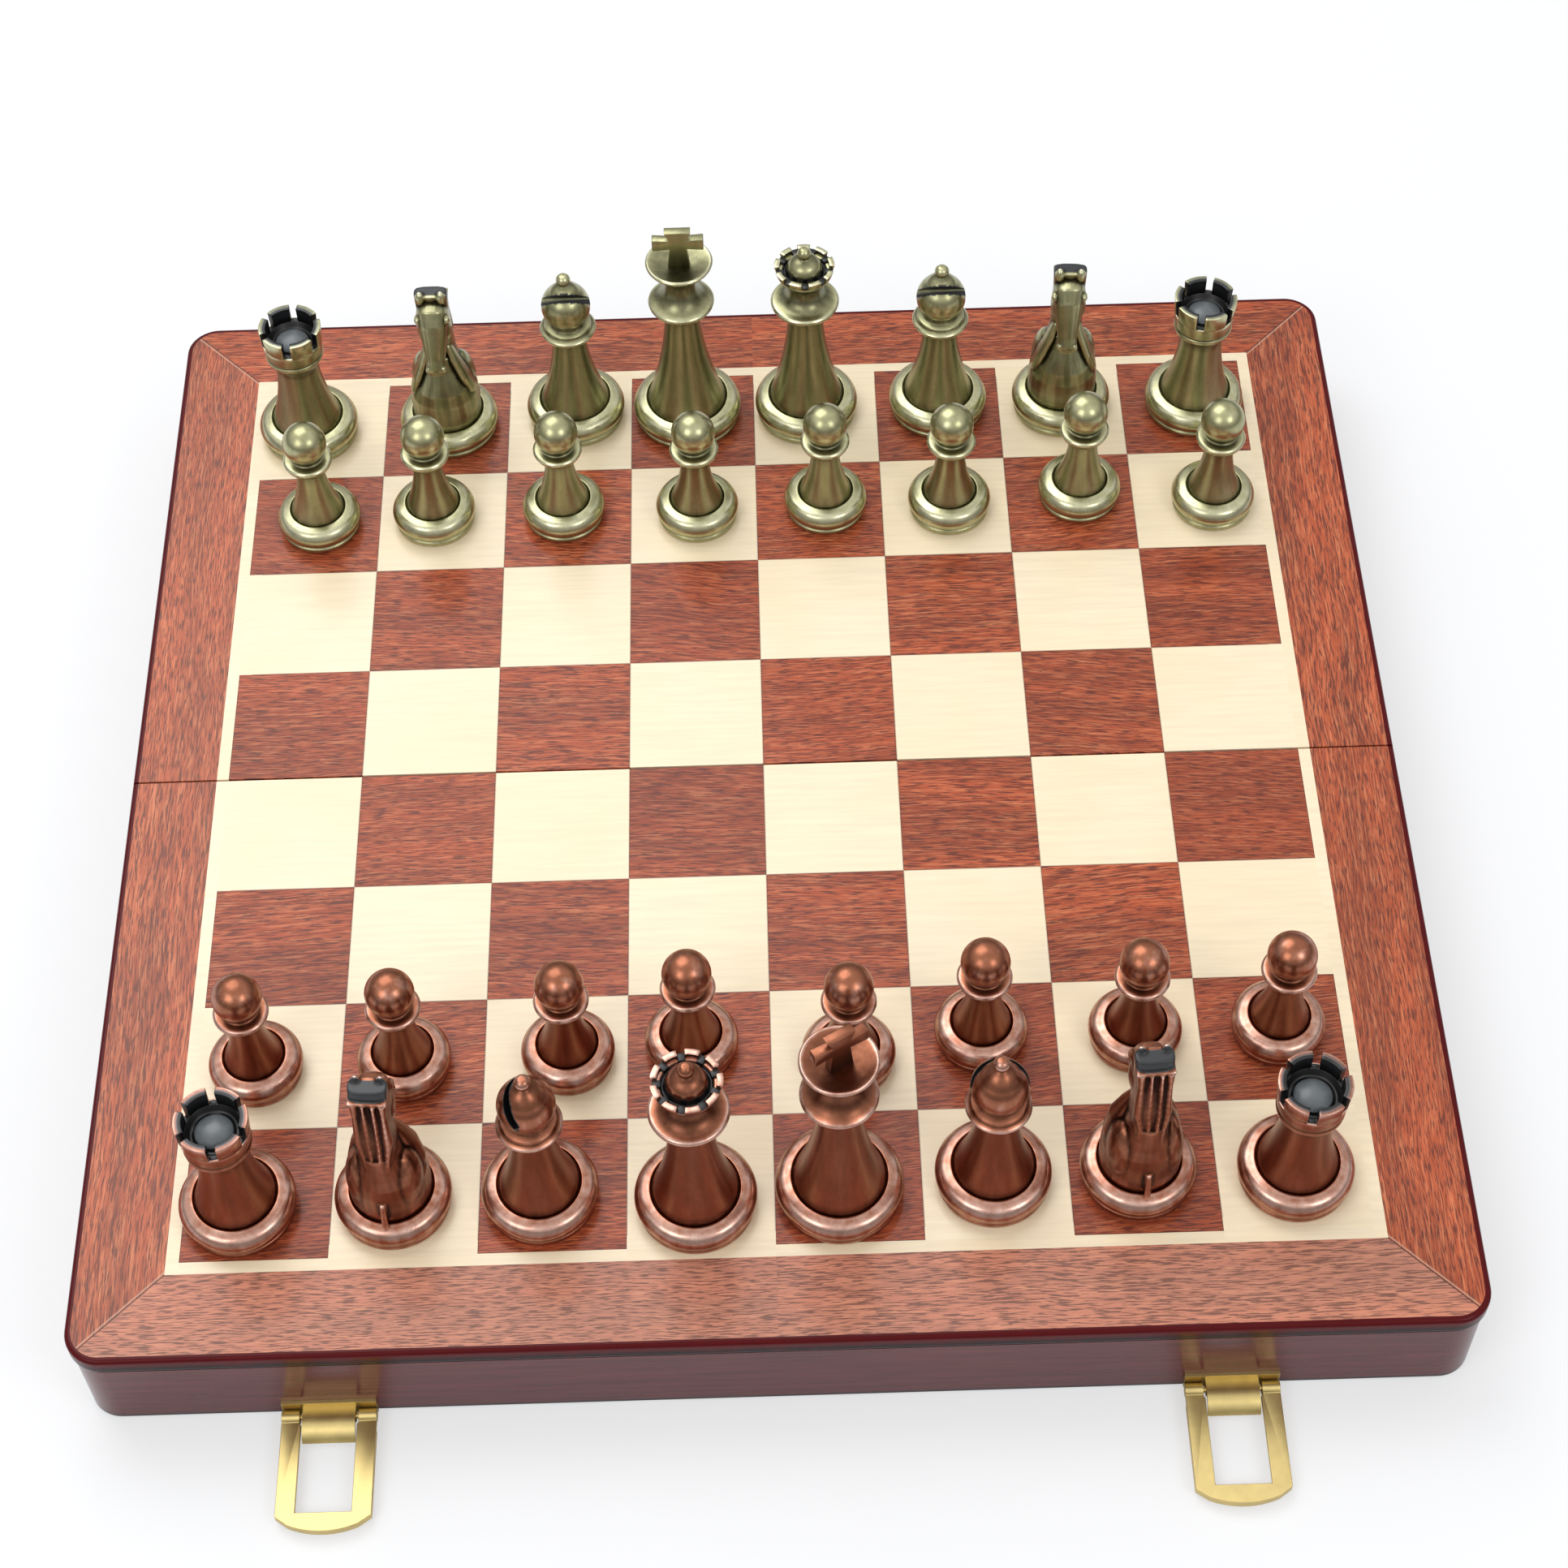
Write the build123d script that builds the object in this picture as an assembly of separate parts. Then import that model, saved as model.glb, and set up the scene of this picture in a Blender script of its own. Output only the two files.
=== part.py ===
from build123d import *
import math
import os

# Folding chess set. Millimetres, +Z up, +Y away from the player of the front half.
# The origin is on the table plane, at the middle of the fold line.

# Board
SQUARE = 31.8
FIELD = 8 * SQUARE
BOARD = 300.0
HALF = BOARD / 2
SEAM_GAP = 0.5
SEAM_Y = -SEAM_GAP / 2
THICKNESS = 27.5
CORNER_RADIUS = 8.0
PANEL_THICKNESS = 5.6
PANEL_UNDERSIDE = THICKNESS - PANEL_THICKNESS
PANEL_LIP = 1.4
PANEL_TOP_ROUND = 1.0
PANEL_BOTTOM_ROUND = 2.0
VENEER = 0.6
LINE_WIDTH = 2.8
LINE_OUTER = FIELD / 2 + LINE_WIDTH

# Walls
WALL = 8.0
WALL_INSET = 0.6
WALL_FACE = HALF - WALL_INSET
WALL_INNER = WALL_FACE - WALL
SEAM_CHAMFER = 1.6

# Foam liner: one row of long pockets for the tall men, one of short pockets for the pawns
FOAM_CLEAR = 0.3
FOAM_SHEET = 1.5
FOAM_LOW = 3.0
FOAM_RAIL = 4.5
LONG_POCKET = 66.5
LONG_POCKETS = 8
SHORT_POCKETS = 4

# Screws, all alike
SCREW_HEAD_R = 1.55
SCREW_SHANK_R = 0.8
SCREW_LENGTH = 6.0
SCREW_HEAD_HEIGHT = 0.75
SCREW_POINT = 1.2
SCREW_SLOT_WIDTH = 0.4
SCREW_SLOT_DEPTH = 0.35
SCREW_CLEAR = 0.02
SCREW_END_ROOM = 0.3

# Butt hinges at the fold
HINGE_X = 90.0
HINGE_LENGTH = 25.0
HINGE_AXIS_Z = -0.1
KNUCKLE_R = 1.0
KNUCKLE_MIDDLE = 8.2
KNUCKLE_GAP = 0.2
BARREL_CLEAR = 0.4
HINGE_PIN_R = 0.45
PIN_CLEAR = 0.04
LEAF_THICKNESS = 0.8
LEAF_DEPTH = 7.2
LEAF_RISE = 0.05
LEAF_RECESS_CLEAR = 0.05
LEAF_SCREW_X = 8.0
LEAF_SCREW_Y = 4.6

# Latches on the front wall and their catches on the back wall
LATCH_X = 97.0
LATCH_AXIS_Y = -151.8
LATCH_AXIS_Z = 1.9
LATCH_WIDTH = 20.4
LATCH_PIN_R = 0.6
PLATE = 0.8
PLATE_HEIGHT = 5.2
FLANGE_DEPTH = 7.2
LOOP_WINDOW = 12.0
LOOP_REACH = 26.0
LOOP_WINDOW_END = 21.8
LOOP_CORNER = 3.4
LOOP_TOP = 0.6
LOOP_UNDER = -0.5
LOOP_SKIRT = -1.6
LOOP_SKIRT_START = 3.2
LOOP_SKIRT_WALL = 0.9
EYE_R = 1.5
EYE_GAP = 0.3
LOOP_CLIP = 1.5
TUBE_R = 1.4
TUBE_WIDTH = 11.4
TONGUE_REACH = 5.6
LATCH_SCREW_X = 6.0
LATCH_SCREW_Y = 145.6
CATCH_WIDTH = 10.8
CATCH_LOW = 7.8
CATCH_HIGH = 19.2
CATCH_REACH = 3.4
CATCH_HOOK = 5.6
CATCH_SCREW_X = 3.2
CATCH_SCREW_Z = 10.6

# Men: the radius of each foot, and common to all the height of the foot, how far the body
# stands in from it, and the depth of the groove between them
KING_FOOT = 13.85
QUEEN_FOOT = 13.2
OFFICER_FOOT = 12.6
PAWN_FOOT = 10.4
FOOT_HEIGHT = 6.8
FOOT_LEDGE = 3.9
FOOT_GROOVE = 0.6

# The knight's mane runs up the neck from this height, over this rise
NECK_LOW = 9.0
NECK_RISE = 39.0

UP = (0, 0, 1)
TOWARDS_FRONT = (0, -1, 0)

PARTS = {}


def add(name, solids):
    """Keep the solids of one node under its name."""
    PARTS[name] = solids


def turn_back(shape):
    """The back half's copy of a front half shape: half a turn about Z."""
    return Rot(0, 0, 180) * shape


def box(low, high):
    """A box from its lowest and highest corners."""
    size = [b - a for a, b in zip(low, high)]
    middle = [(a + b) / 2 for a, b in zip(low, high)]
    return Pos(*middle) * Box(*size)


def rod(x_from, x_to, y, z, radius):
    """A round bar along X."""
    bar = Cylinder(radius, x_to - x_from, rotation=(0, 90, 0))
    return Pos((x_from + x_to) / 2, y, z) * bar


def half_outline(half_width, front_y, seam_y, radius):
    """Plan of one half: a rectangle with its two front corners rounded."""
    with BuildSketch() as plan:
        with Locations((0, (front_y + seam_y) / 2)):
            Rectangle(2 * half_width, seam_y - front_y)
        fillet(plan.vertices().sort_by(Axis.Y)[:2], radius)
    return plan.sketch


def screw(x, y, z, direction):
    """A countersunk screw whose head lies at the point and whose shank runs along direction."""
    profile = Polyline(
        (0, 0),
        (SCREW_HEAD_R, 0),
        (SCREW_SHANK_R, SCREW_HEAD_HEIGHT),
        (SCREW_SHANK_R, SCREW_LENGTH - SCREW_POINT),
        (0, SCREW_LENGTH),
        close=True,
    )
    body = turned(profile) - Box(2 * SCREW_HEAD_R, SCREW_SLOT_WIDTH, 2 * SCREW_SLOT_DEPTH)
    return Plane((x, y, z), x_dir=(1, 0, 0), z_dir=direction) * body


def screw_hole(x, y, z, direction):
    """The hole that a screw needs, a little wider all round."""
    head = SCREW_HEAD_R + SCREW_CLEAR
    shank = SCREW_SHANK_R + SCREW_CLEAR
    bottom = SCREW_LENGTH + SCREW_END_ROOM
    profile = Polyline(
        (0, -head),
        (head, -head),
        (head, 0),
        (shank, SCREW_HEAD_HEIGHT),
        (shank, bottom),
        (0, bottom),
        close=True,
    )
    return Plane((x, y, z), x_dir=(1, 0, 0), z_dir=direction) * turned(profile)


def hinge_screw_points():
    """Screws of the front hinge leaves."""
    points = []
    for hinge in (-HINGE_X, HINGE_X):
        for side in (-LEAF_SCREW_X, LEAF_SCREW_X):
            points.append((hinge + side, -LEAF_SCREW_Y, LEAF_RISE))
    return points


def latch_screw_points():
    """Screws of the latch flanges, up into the front wall."""
    points = []
    for latch in (-LATCH_X, LATCH_X):
        for side in (-LATCH_SCREW_X, LATCH_SCREW_X):
            points.append((latch + side, -LATCH_SCREW_Y, LEAF_RISE))
    return points


def catch_screw_points():
    """Screws of the catches, into the back wall."""
    points = []
    for catch in (-LATCH_X, LATCH_X):
        for side in (-CATCH_SCREW_X, CATCH_SCREW_X):
            points.append((catch + side, WALL_FACE + PLATE, CATCH_SCREW_Z))
    return points


def cut_screws(solid, points, direction):
    """The solid with holes for the screws at the points."""
    for point in points:
        solid -= screw_hole(*point, direction)
    return solid


def panel():
    """Top board of the front half, with a lacquered round edge and a recess for the veneers."""
    plan = half_outline(HALF, -HALF, SEAM_Y, CORNER_RADIUS)
    board = extrude(Pos(0, 0, PANEL_UNDERSIDE) * plan, PANEL_THICKNESS)
    board = fillet(outer_edges(board, THICKNESS), PANEL_TOP_ROUND)
    board = fillet(outer_edges(board, PANEL_UNDERSIDE), PANEL_BOTTOM_ROUND)
    recess = half_outline(HALF - PANEL_LIP, -HALF + PANEL_LIP, SEAM_GAP, CORNER_RADIUS - PANEL_LIP)
    return board - extrude(Pos(0, 0, THICKNESS - VENEER) * recess, 2 * VENEER)


def outer_edges(board, height):
    """The edges of the panel at one height, all but the one along the fold."""
    near = 0.1
    level = board.edges().filter_by(lambda edge: abs(edge.center().Z - height) < near)
    return level.filter_by(lambda edge: edge.center().Y < SEAM_Y - near)


def outer_wall():
    """Wall along the front, with rounded ends."""
    plan = half_outline(WALL_FACE, -WALL_FACE, -WALL_INNER, CORNER_RADIUS - WALL_INSET)
    return extrude(plan, PANEL_UNDERSIDE)


def side_walls():
    """The two walls from the front wall to the fold."""
    right = box((WALL_INNER, -WALL_INNER, 0), (WALL_FACE, SEAM_Y, PANEL_UNDERSIDE))
    return [mirror(right, Plane.YZ), right]


def seam_wall():
    """Wall along the fold, chamfered under the seam and let in for the hinge leaves."""
    wall = box((-WALL_INNER, SEAM_Y - WALL, 0), (WALL_INNER, SEAM_Y, PANEL_UNDERSIDE))
    corner = wall.edges().filter_by(Axis.X).sort_by(Axis.Z)[:2].sort_by(Axis.Y)[-1]
    wall = chamfer(corner, SEAM_CHAMFER)
    reach = HINGE_LENGTH / 2 + LEAF_RECESS_CLEAR
    front = -LEAF_DEPTH - LEAF_RECESS_CLEAR
    depth = LEAF_RISE + LEAF_THICKNESS + LEAF_RECESS_CLEAR
    for hinge in (-HINGE_X, HINGE_X):
        wall -= box((hinge - reach, front, -KNUCKLE_R), (hinge + reach, SEAM_GAP, depth))
    return wall


def border_veneer():
    """Three mitred strips of dark veneer around the half."""
    outer = half_outline(HALF - PANEL_LIP, -HALF + PANEL_LIP, SEAM_Y, CORNER_RADIUS - PANEL_LIP)
    inner = half_outline(LINE_OUTER, -LINE_OUTER, 1.0, 0.01)
    ring = extrude(Pos(0, 0, THICKNESS - VENEER) * (outer - inner), VENEER)
    front = wedge_of(ring, (0, 0), (-HALF, -HALF), (HALF, -HALF))
    left = wedge_of(ring, (0, 0), (-HALF, -HALF), (-HALF, SEAM_Y))
    return [front, left, mirror(left, Plane.YZ)]


def wedge_of(ring, *corners):
    """The part of a flat ring inside a polygon of the plan."""
    plan = make_face(Polyline(*corners, close=True))
    return (ring & extrude(Pos(0, 0, THICKNESS - 2 * VENEER) * plan, 3 * VENEER)).solids()[0]


def maple_line():
    """The light line between the border and the squares, in three strips."""
    low = THICKNESS - VENEER
    inner = FIELD / 2
    front = box((-LINE_OUTER, -LINE_OUTER, low), (LINE_OUTER, -inner, THICKNESS))
    left = box((-LINE_OUTER, -inner, low), (-inner, SEAM_Y, THICKNESS))
    return [front, left, mirror(left, Plane.YZ)]


def squares(dark):
    """The sixteen dark or light squares of the front half."""
    tiles = []
    for row in range(4):
        for column in range(8):
            if ((row + column) % 2 == 0) == dark:
                x = (column - 4) * SQUARE
                y = (row - 4) * SQUARE
                far = min(y + SQUARE, SEAM_Y)
                tiles.append(box((x, y, THICKNESS - VENEER), (x + SQUARE, far, THICKNESS)))
    return tiles


def foam_liner():
    """Foam sheet under the panel, with strips that make the pockets for the men."""
    side = WALL_INNER - FOAM_CLEAR
    front = -side
    back = SEAM_Y - WALL - FOAM_CLEAR
    sheet_low = PANEL_UNDERSIDE - FOAM_SHEET
    strips = [box((-side, front, sheet_low), (side, back, PANEL_UNDERSIDE))]
    middle = back - FOAM_RAIL - LONG_POCKET - FOAM_RAIL
    for y in (front, middle, back - FOAM_RAIL):
        strips.append(box((-side, y, FOAM_LOW), (side, y + FOAM_RAIL, sheet_low)))
    strips += foam_bars(LONG_POCKETS, middle + FOAM_RAIL, back - FOAM_RAIL, sheet_low)
    strips += foam_bars(SHORT_POCKETS, front + FOAM_RAIL, middle, sheet_low)
    return strips


def foam_bars(pockets, y_low, y_high, top):
    """The cross bars between a row of pockets."""
    side = WALL_INNER - FOAM_CLEAR
    pitch = 2 * side / pockets
    bars = []
    for index in range(1, pockets):
        x = -side + index * pitch
        bars.append(box((x - FOAM_RAIL / 2, y_low, FOAM_LOW), (x + FOAM_RAIL / 2, y_high, top)))
    return bars


def hinge_leaf(x, is_front):
    """One leaf with its knuckles; the front leaf has the two outer ones."""
    side = -1 if is_front else 1
    half_length = HINGE_LENGTH / 2
    half_middle = KNUCKLE_MIDDLE / 2
    half_gap = half_middle + KNUCKLE_GAP
    clear = KNUCKLE_R + BARREL_CLEAR
    near, far = sorted((side * KNUCKLE_R / 2, side * LEAF_DEPTH))
    leaf = box((x - half_length, near, LEAF_RISE), (x + half_length, far, LEAF_RISE + LEAF_THICKNESS))
    if is_front:
        gaps = [(-half_gap, half_gap)]
        knuckles = [(-half_length, -half_gap), (half_gap, half_length)]
    else:
        gaps = [(-half_length, -half_middle), (half_middle, half_length)]
        knuckles = [(-half_middle, half_middle)]
    for start, end in gaps:
        leaf -= box((x + start, -clear, -clear), (x + end, clear, clear))
    for start, end in knuckles:
        leaf += rod(x + start, x + end, 0, HINGE_AXIS_Z, KNUCKLE_R)
    return leaf - rod(x - half_length, x + half_length, 0, HINGE_AXIS_Z, HINGE_PIN_R + PIN_CLEAR)


def hinge_pin(x):
    """Wire pin of one hinge."""
    half_length = HINGE_LENGTH / 2
    return rod(x - half_length, x + half_length, 0, HINGE_AXIS_Z, HINGE_PIN_R)


def latch_base(x):
    """Angle plate on the wall and under its edge, with the pin tube and the curved tongue."""
    half_width = LATCH_WIDTH / 2
    half_tube = TUBE_WIDTH / 2
    face = -WALL_FACE - PLATE
    inner = -WALL_FACE + FLANGE_DEPTH
    low = LEAF_RISE
    web_low = LATCH_AXIS_Z - LATCH_PIN_R
    tube_top = LATCH_AXIS_Z + TUBE_R
    plate = box((x - half_width, face, low), (x + half_width, -WALL_FACE, low + PLATE_HEIGHT))
    plate += box((x - half_width, face, low), (x + half_width, inner, low + PLATE))
    plate += rod(x - half_tube, x + half_tube, LATCH_AXIS_Y, LATCH_AXIS_Z, TUBE_R)
    plate += box((x - half_tube, LATCH_AXIS_Y, web_low), (x + half_tube, face, tube_top))
    plate += latch_tongue(x)
    ends = half_width + 1
    return plate - rod(x - ends, x + ends, LATCH_AXIS_Y, LATCH_AXIS_Z, LATCH_PIN_R + PIN_CLEAR)


def along_x(section, x_from, width):
    """A section in Y and Z, drawn out along X."""
    middle = Plane((x_from + width / 2, 0, 0), x_dir=(0, 1, 0), z_dir=(1, 0, 0))
    return extrude(middle * section, width / 2, both=True)


def along_y(section, y_from, depth):
    """A section in X and Z, drawn out along Y."""
    middle = Plane((0, y_from + depth / 2, 0), x_dir=(1, 0, 0), z_dir=(0, -1, 0))
    return extrude(middle * section, depth / 2, both=True)


def latch_tongue(x):
    """Curved spring tongue that stands out between the arms of the loop."""
    y = LATCH_AXIS_Y
    top = LATCH_AXIS_Z + TUBE_R
    tip = y - TONGUE_REACH
    outer = ThreePointArc((y, top), (y - 3.7, top - 0.5), (tip, 0.7))
    inner = ThreePointArc((tip + 0.7, 0.5), (y - 3.2, top - 1.1), (y, top - PLATE))
    profile = outer + Line((tip, 0.7), (tip + 0.7, 0.5)) + inner + Line((y, top - PLATE), (y, top))
    return along_x(make_face(profile), x - TUBE_WIDTH / 2, TUBE_WIDTH)


def latch_pin(x):
    """Wire pin of one latch."""
    half_width = LATCH_WIDTH / 2
    return rod(x - half_width, x + half_width, LATCH_AXIS_Y, LATCH_AXIS_Z, LATCH_PIN_R)


def loop_plan(inset):
    """Outline of the loop seen from above, its arms towards +Y, its end clipped and arched."""
    half_width = LATCH_WIDTH / 2 - inset
    shoulder = -LOOP_REACH + LOOP_CORNER + inset
    arch = half_width - LOOP_CORNER * 0.8
    tip = -LOOP_REACH + inset
    clip = tip + LOOP_CLIP
    outline = Line((-half_width, 0), (-half_width, shoulder))
    outline += Line((-half_width, shoulder), (-arch, clip))
    outline += ThreePointArc((-arch, clip), (0, tip), (arch, clip))
    outline += Line((arch, clip), (half_width, shoulder))
    outline += Line((half_width, shoulder), (half_width, 0))
    outline += Line((half_width, 0), (-half_width, 0))
    return make_face(outline)


def latch_loop(x):
    """Folded sheet loop: two arms with eyes on the pin, a window and an arched end."""
    half_width = LATCH_WIDTH / 2
    half_window = LOOP_WINDOW / 2
    beyond = 5.0
    sheet = extrude(Pos(0, 0, LOOP_UNDER) * loop_plan(0), LOOP_TOP - LOOP_UNDER)
    skirt = extrude(Pos(0, 0, LOOP_SKIRT) * loop_plan(0), LOOP_UNDER - LOOP_SKIRT)
    skirt -= extrude(Pos(0, 0, LOOP_SKIRT) * loop_plan(LOOP_SKIRT_WALL), LOOP_UNDER - LOOP_SKIRT)
    skirt -= box((-half_width, -LOOP_SKIRT_START, -beyond), (half_width, beyond, beyond))
    sheet += skirt
    sheet -= box((-half_window, -LOOP_WINDOW_END, -beyond), (half_window, beyond, beyond))
    for start, end in ((-half_width, -half_window), (half_window, half_width)):
        sheet += rod(start, end, 0, 0, EYE_R)
    inner = half_window + EYE_GAP
    sheet -= box((-inner, -EYE_R - BARREL_CLEAR, -beyond), (inner, beyond, beyond))
    sheet -= rod(-half_width, half_width, 0, 0, LATCH_PIN_R + PIN_CLEAR)
    return Pos(x, LATCH_AXIS_Y, LATCH_AXIS_Z) * sheet


def catch(x):
    """Plate on the back wall with a rolled hook that holds the end of the loop."""
    face = WALL_FACE + PLATE
    half_width = CATCH_WIDTH / 2
    plate = box((x - half_width, WALL_FACE, CATCH_LOW), (x + half_width, face, CATCH_HIGH))
    reach = WALL_FACE + CATCH_REACH
    low = CATCH_HIGH - CATCH_HOOK
    root = low + 2 * PLATE
    outer = ThreePointArc((face, low), (face + 1.9, low + 1.7), (reach, CATCH_HIGH))
    inner = ThreePointArc((reach - PLATE, CATCH_HIGH), (face + 1.1, root + 1.0), (face, root))
    profile = outer + Line((reach, CATCH_HIGH), (reach - PLATE, CATCH_HIGH)) + inner
    profile += Line((face, root), (face, low))
    return plate + along_x(make_face(profile), x - half_width, CATCH_WIDTH)


def turned(edges):
    """A turned solid from the edges of its half section, radius along X and height along Z."""
    return revolve(make_face(Plane.XZ * edges), Axis.Z)


def foot_edges(radius):
    """Half section of a foot: lower ring, groove, round lip, broad top and the groove inside it."""
    ring = radius - 0.5
    body = radius - FOOT_LEDGE
    ledge = body + 0.5
    edges = Line((0, 0), (ring, 0)) + Line((ring, 0), (ring, 1.3))
    edges += Line((ring, 1.3), (ring - 0.6, 1.7)) + Line((ring - 0.6, 1.7), (ring, 2.1))
    edges += ThreePointArc((ring, 2.1), (radius, 3.7), (radius - 0.6, 5.2))
    edges += ThreePointArc((radius - 0.6, 5.2), (radius - 1.1, 5.9), (radius - 2.0, 6.4))
    edges += Line((radius - 2.0, 6.4), (ledge, FOOT_HEIGHT))
    edges += Line((ledge, FOOT_HEIGHT), (body + 0.1, FOOT_HEIGHT - FOOT_GROOVE))
    edges += Line((body + 0.1, FOOT_HEIGHT - FOOT_GROOVE), (body, FOOT_HEIGHT))
    return edges


def body_edges(foot_radius, neck_radius, neck_height, hollow):
    """The concave body from the foot's groove up to the neck."""
    radius = foot_radius - FOOT_LEDGE
    middle = ((radius + neck_radius) / 2 - hollow, (FOOT_HEIGHT + neck_height) / 2)
    return ThreePointArc((radius, FOOT_HEIGHT), middle, (neck_radius, neck_height))


def ball_edges(start_radius, centre_height, radius):
    """Half section of a ball, from a neck under it to its top on the axis."""
    start = (start_radius, centre_height - math.sqrt(radius**2 - start_radius**2))
    return ThreePointArc(start, (radius, centre_height), (0, centre_height + radius))


def cap_edges(rim_radius, rim_height, top_height):
    """Half section of a dome or a dish, from its rim to its middle on the axis."""
    rise = top_height - rim_height
    radius = (rim_radius**2 + rise**2) / (2 * rise)
    centre = top_height - radius
    half_angle = math.asin(rim_radius / abs(radius)) / 2
    middle = (abs(radius) * math.sin(half_angle), centre + radius * math.cos(half_angle))
    return ThreePointArc((rim_radius, rim_height), middle, (0, top_height))


def king():
    """King: shallow dished head with a flared cross standing in it."""
    edges = foot_edges(KING_FOOT) + body_edges(KING_FOOT, 4.3, 37.0, 1.1)
    edges += ThreePointArc((4.3, 37.0), (6.8, 38.6), (8.1, 40.2))
    edges += Line((8.1, 40.2), (8.3, 40.9)) + Line((8.3, 40.9), (7.8, 41.4))
    edges += ThreePointArc((7.8, 41.4), (3.8, 46.6), (7.9, 53.0))
    edges += Line((7.9, 53.0), (8.4, 53.9)) + Line((8.4, 53.9), (7.9, 54.4))
    edges += cap_edges(7.9, 54.4, 53.0) + Line((0, 53.0), (0, 0))
    return turned(edges) + cross()


def cross():
    """Low stout cross, standing across the line of sight: flared top and side arms, and a stem."""
    middle_z = 60.3
    thickness = 2.4
    waist = 2.4
    crotch = 1.2
    top_arm = (4.1, 3.9)
    side_arm = (6.3, 1.9)
    stem = (2.9, -7.6)
    right = [
        (0, top_arm[1]),
        top_arm,
        (waist, crotch),
        side_arm,
        (side_arm[0], -side_arm[1]),
        (waist, -crotch),
        stem,
        (0, stem[1]),
    ]
    half = make_face(Polyline(*right, close=True))
    return Pos(0, 0, middle_z) * along_y(half + mirror(half, Plane.YZ), -thickness / 2, thickness)


def queen():
    """Queen: scalloped coronet round a small dome."""
    edges = foot_edges(QUEEN_FOOT) + body_edges(QUEEN_FOOT, 4.3, 35.8, 1.0)
    edges += ThreePointArc((4.3, 35.8), (7.0, 37.2), (8.4, 38.8))
    edges += Line((8.4, 38.8), (8.6, 39.5)) + Line((8.6, 39.5), (8.1, 40.0))
    edges += ThreePointArc((8.1, 40.0), (3.8, 43.9), (6.6, 48.6))
    edges += Line((6.6, 48.6), (7.5, 51.2)) + Line((7.5, 51.2), (6.3, 51.6))
    edges += Line((6.3, 51.6), (5.0, 50.0))
    edges += Line((5.0, 50.0), (4.4, 50.3))
    edges += ThreePointArc((4.4, 50.3), (3.6, 52.9), (1.2, 54.2))
    finial = ball_edges(1.2, 55.4, 1.5)
    edges += Line((1.2, 54.2), finial @ 0) + finial + Line((0, 56.9), (0, 0))
    body = turned(edges)
    notches = 9
    for index in range(notches):
        notch = Pos(7.4, 0, 52.0) * Cylinder(1.15, 4.0, rotation=(0, 90, 0))
        body -= Rot(0, 0, 360 / notches * (index + 0.5)) * notch
    return body


def bishop():
    """Bishop: ball head with a finial and a sloping slot, over a double collar."""
    edges = foot_edges(OFFICER_FOOT) + body_edges(OFFICER_FOOT, 4.1, 29.2, 0.9)
    edges += ThreePointArc((4.1, 29.2), (6.0, 30.0), (6.9, 31.2))
    edges += Line((6.9, 31.2), (7.1, 31.8)) + Line((7.1, 31.8), (6.6, 32.2))
    edges += Line((6.6, 32.2), (6.0, 32.5)) + Line((6.0, 32.5), (5.8, 33.3))
    edges += Line((5.8, 33.3), (4.3, 33.9)) + Line((4.3, 33.9), (4.1, 34.9))
    edges += ThreePointArc((4.1, 34.9), (6.15, 39.6), (3.9, 44.1))
    edges += ThreePointArc((3.9, 44.1), (2.4, 45.4), (1.1, 46.3))
    finial = ball_edges(1.1, 47.7, 1.8)
    edges += Line((1.1, 46.3), finial @ 0) + finial + Line((0, 49.5), (0, 0))
    slot_width = 1.7
    slot_slope = -52
    slot = Box(14.0, 12.0, slot_width)
    slot = Pos(0, 0, 40.4) * Rot(slot_slope, 0, 0) * Pos(0, -5.2, 0) * slot
    return turned(edges) - slot


def rook():
    """Rook: flared crown with six merlons round a domed floor."""
    edges = foot_edges(OFFICER_FOOT) + body_edges(OFFICER_FOOT, 5.3, 25.4, 0.8)
    edges += ThreePointArc((5.3, 25.4), (6.0, 27.4), (7.2, 28.6))
    edges += Line((7.2, 28.6), (7.3, 29.5)) + Line((7.3, 29.5), (6.9, 29.9))
    edges += Line((6.9, 29.9), (7.2, 30.3))
    top = 38.2
    edges += ThreePointArc((7.2, 30.3), (7.45, 34.2), (7.8, top))
    edges += Line((7.8, top), (6.1, top)) + Line((6.1, top), (5.4, 32.8))
    edges += cap_edges(5.4, 32.8, 34.6) + Line((0, 34.6), (0, 0))
    body = turned(edges)
    slots = 3
    first_slot = 15
    for index in range(slots):
        body -= Rot(0, 0, first_slot + 180 / slots * index) * Pos(0, 0, top) * crenel()
    return body


def crenel():
    """A bar that cuts two facing slots in the rook's crown, and leaves its floor whole."""
    width = 1.6
    depth = 4.4
    floor_radius = 5.3
    return Box(20.0, width, 2 * depth) - Cylinder(floor_radius, 4 * depth)


def pawn():
    """Pawn: ball on a saucer collar."""
    edges = foot_edges(PAWN_FOOT) + body_edges(PAWN_FOOT, 3.4, 21.2, 0.7)
    edges += ThreePointArc((3.4, 21.2), (5.0, 22.4), (5.8, 23.9))
    edges += Line((5.8, 23.9), (5.9, 24.4)) + Line((5.9, 24.4), (5.4, 24.8))
    ball = ball_edges(3.0, 30.5, 5.1)
    edges += Line((5.4, 24.8), (3.2, 24.4)) + Line((3.2, 24.4), ball @ 0)
    edges += ball + Line((0, 35.6), (0, 0))
    return turned(edges)


def knight():
    """Knight: horse's neck and head facing -Y, over a round foot."""
    radius = OFFICER_FOOT - FOOT_LEDGE
    neck_foot = 8.4
    edges = foot_edges(OFFICER_FOOT) + Line((radius, FOOT_HEIGHT), (radius, neck_foot))
    edges += Line((radius, neck_foot), (0, neck_foot)) + Line((0, neck_foot), (0, 0))
    solid = turned(edges) + knight_neck(radius, neck_foot)
    return solid + knight_head() + knight_ears() + mane()


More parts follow.
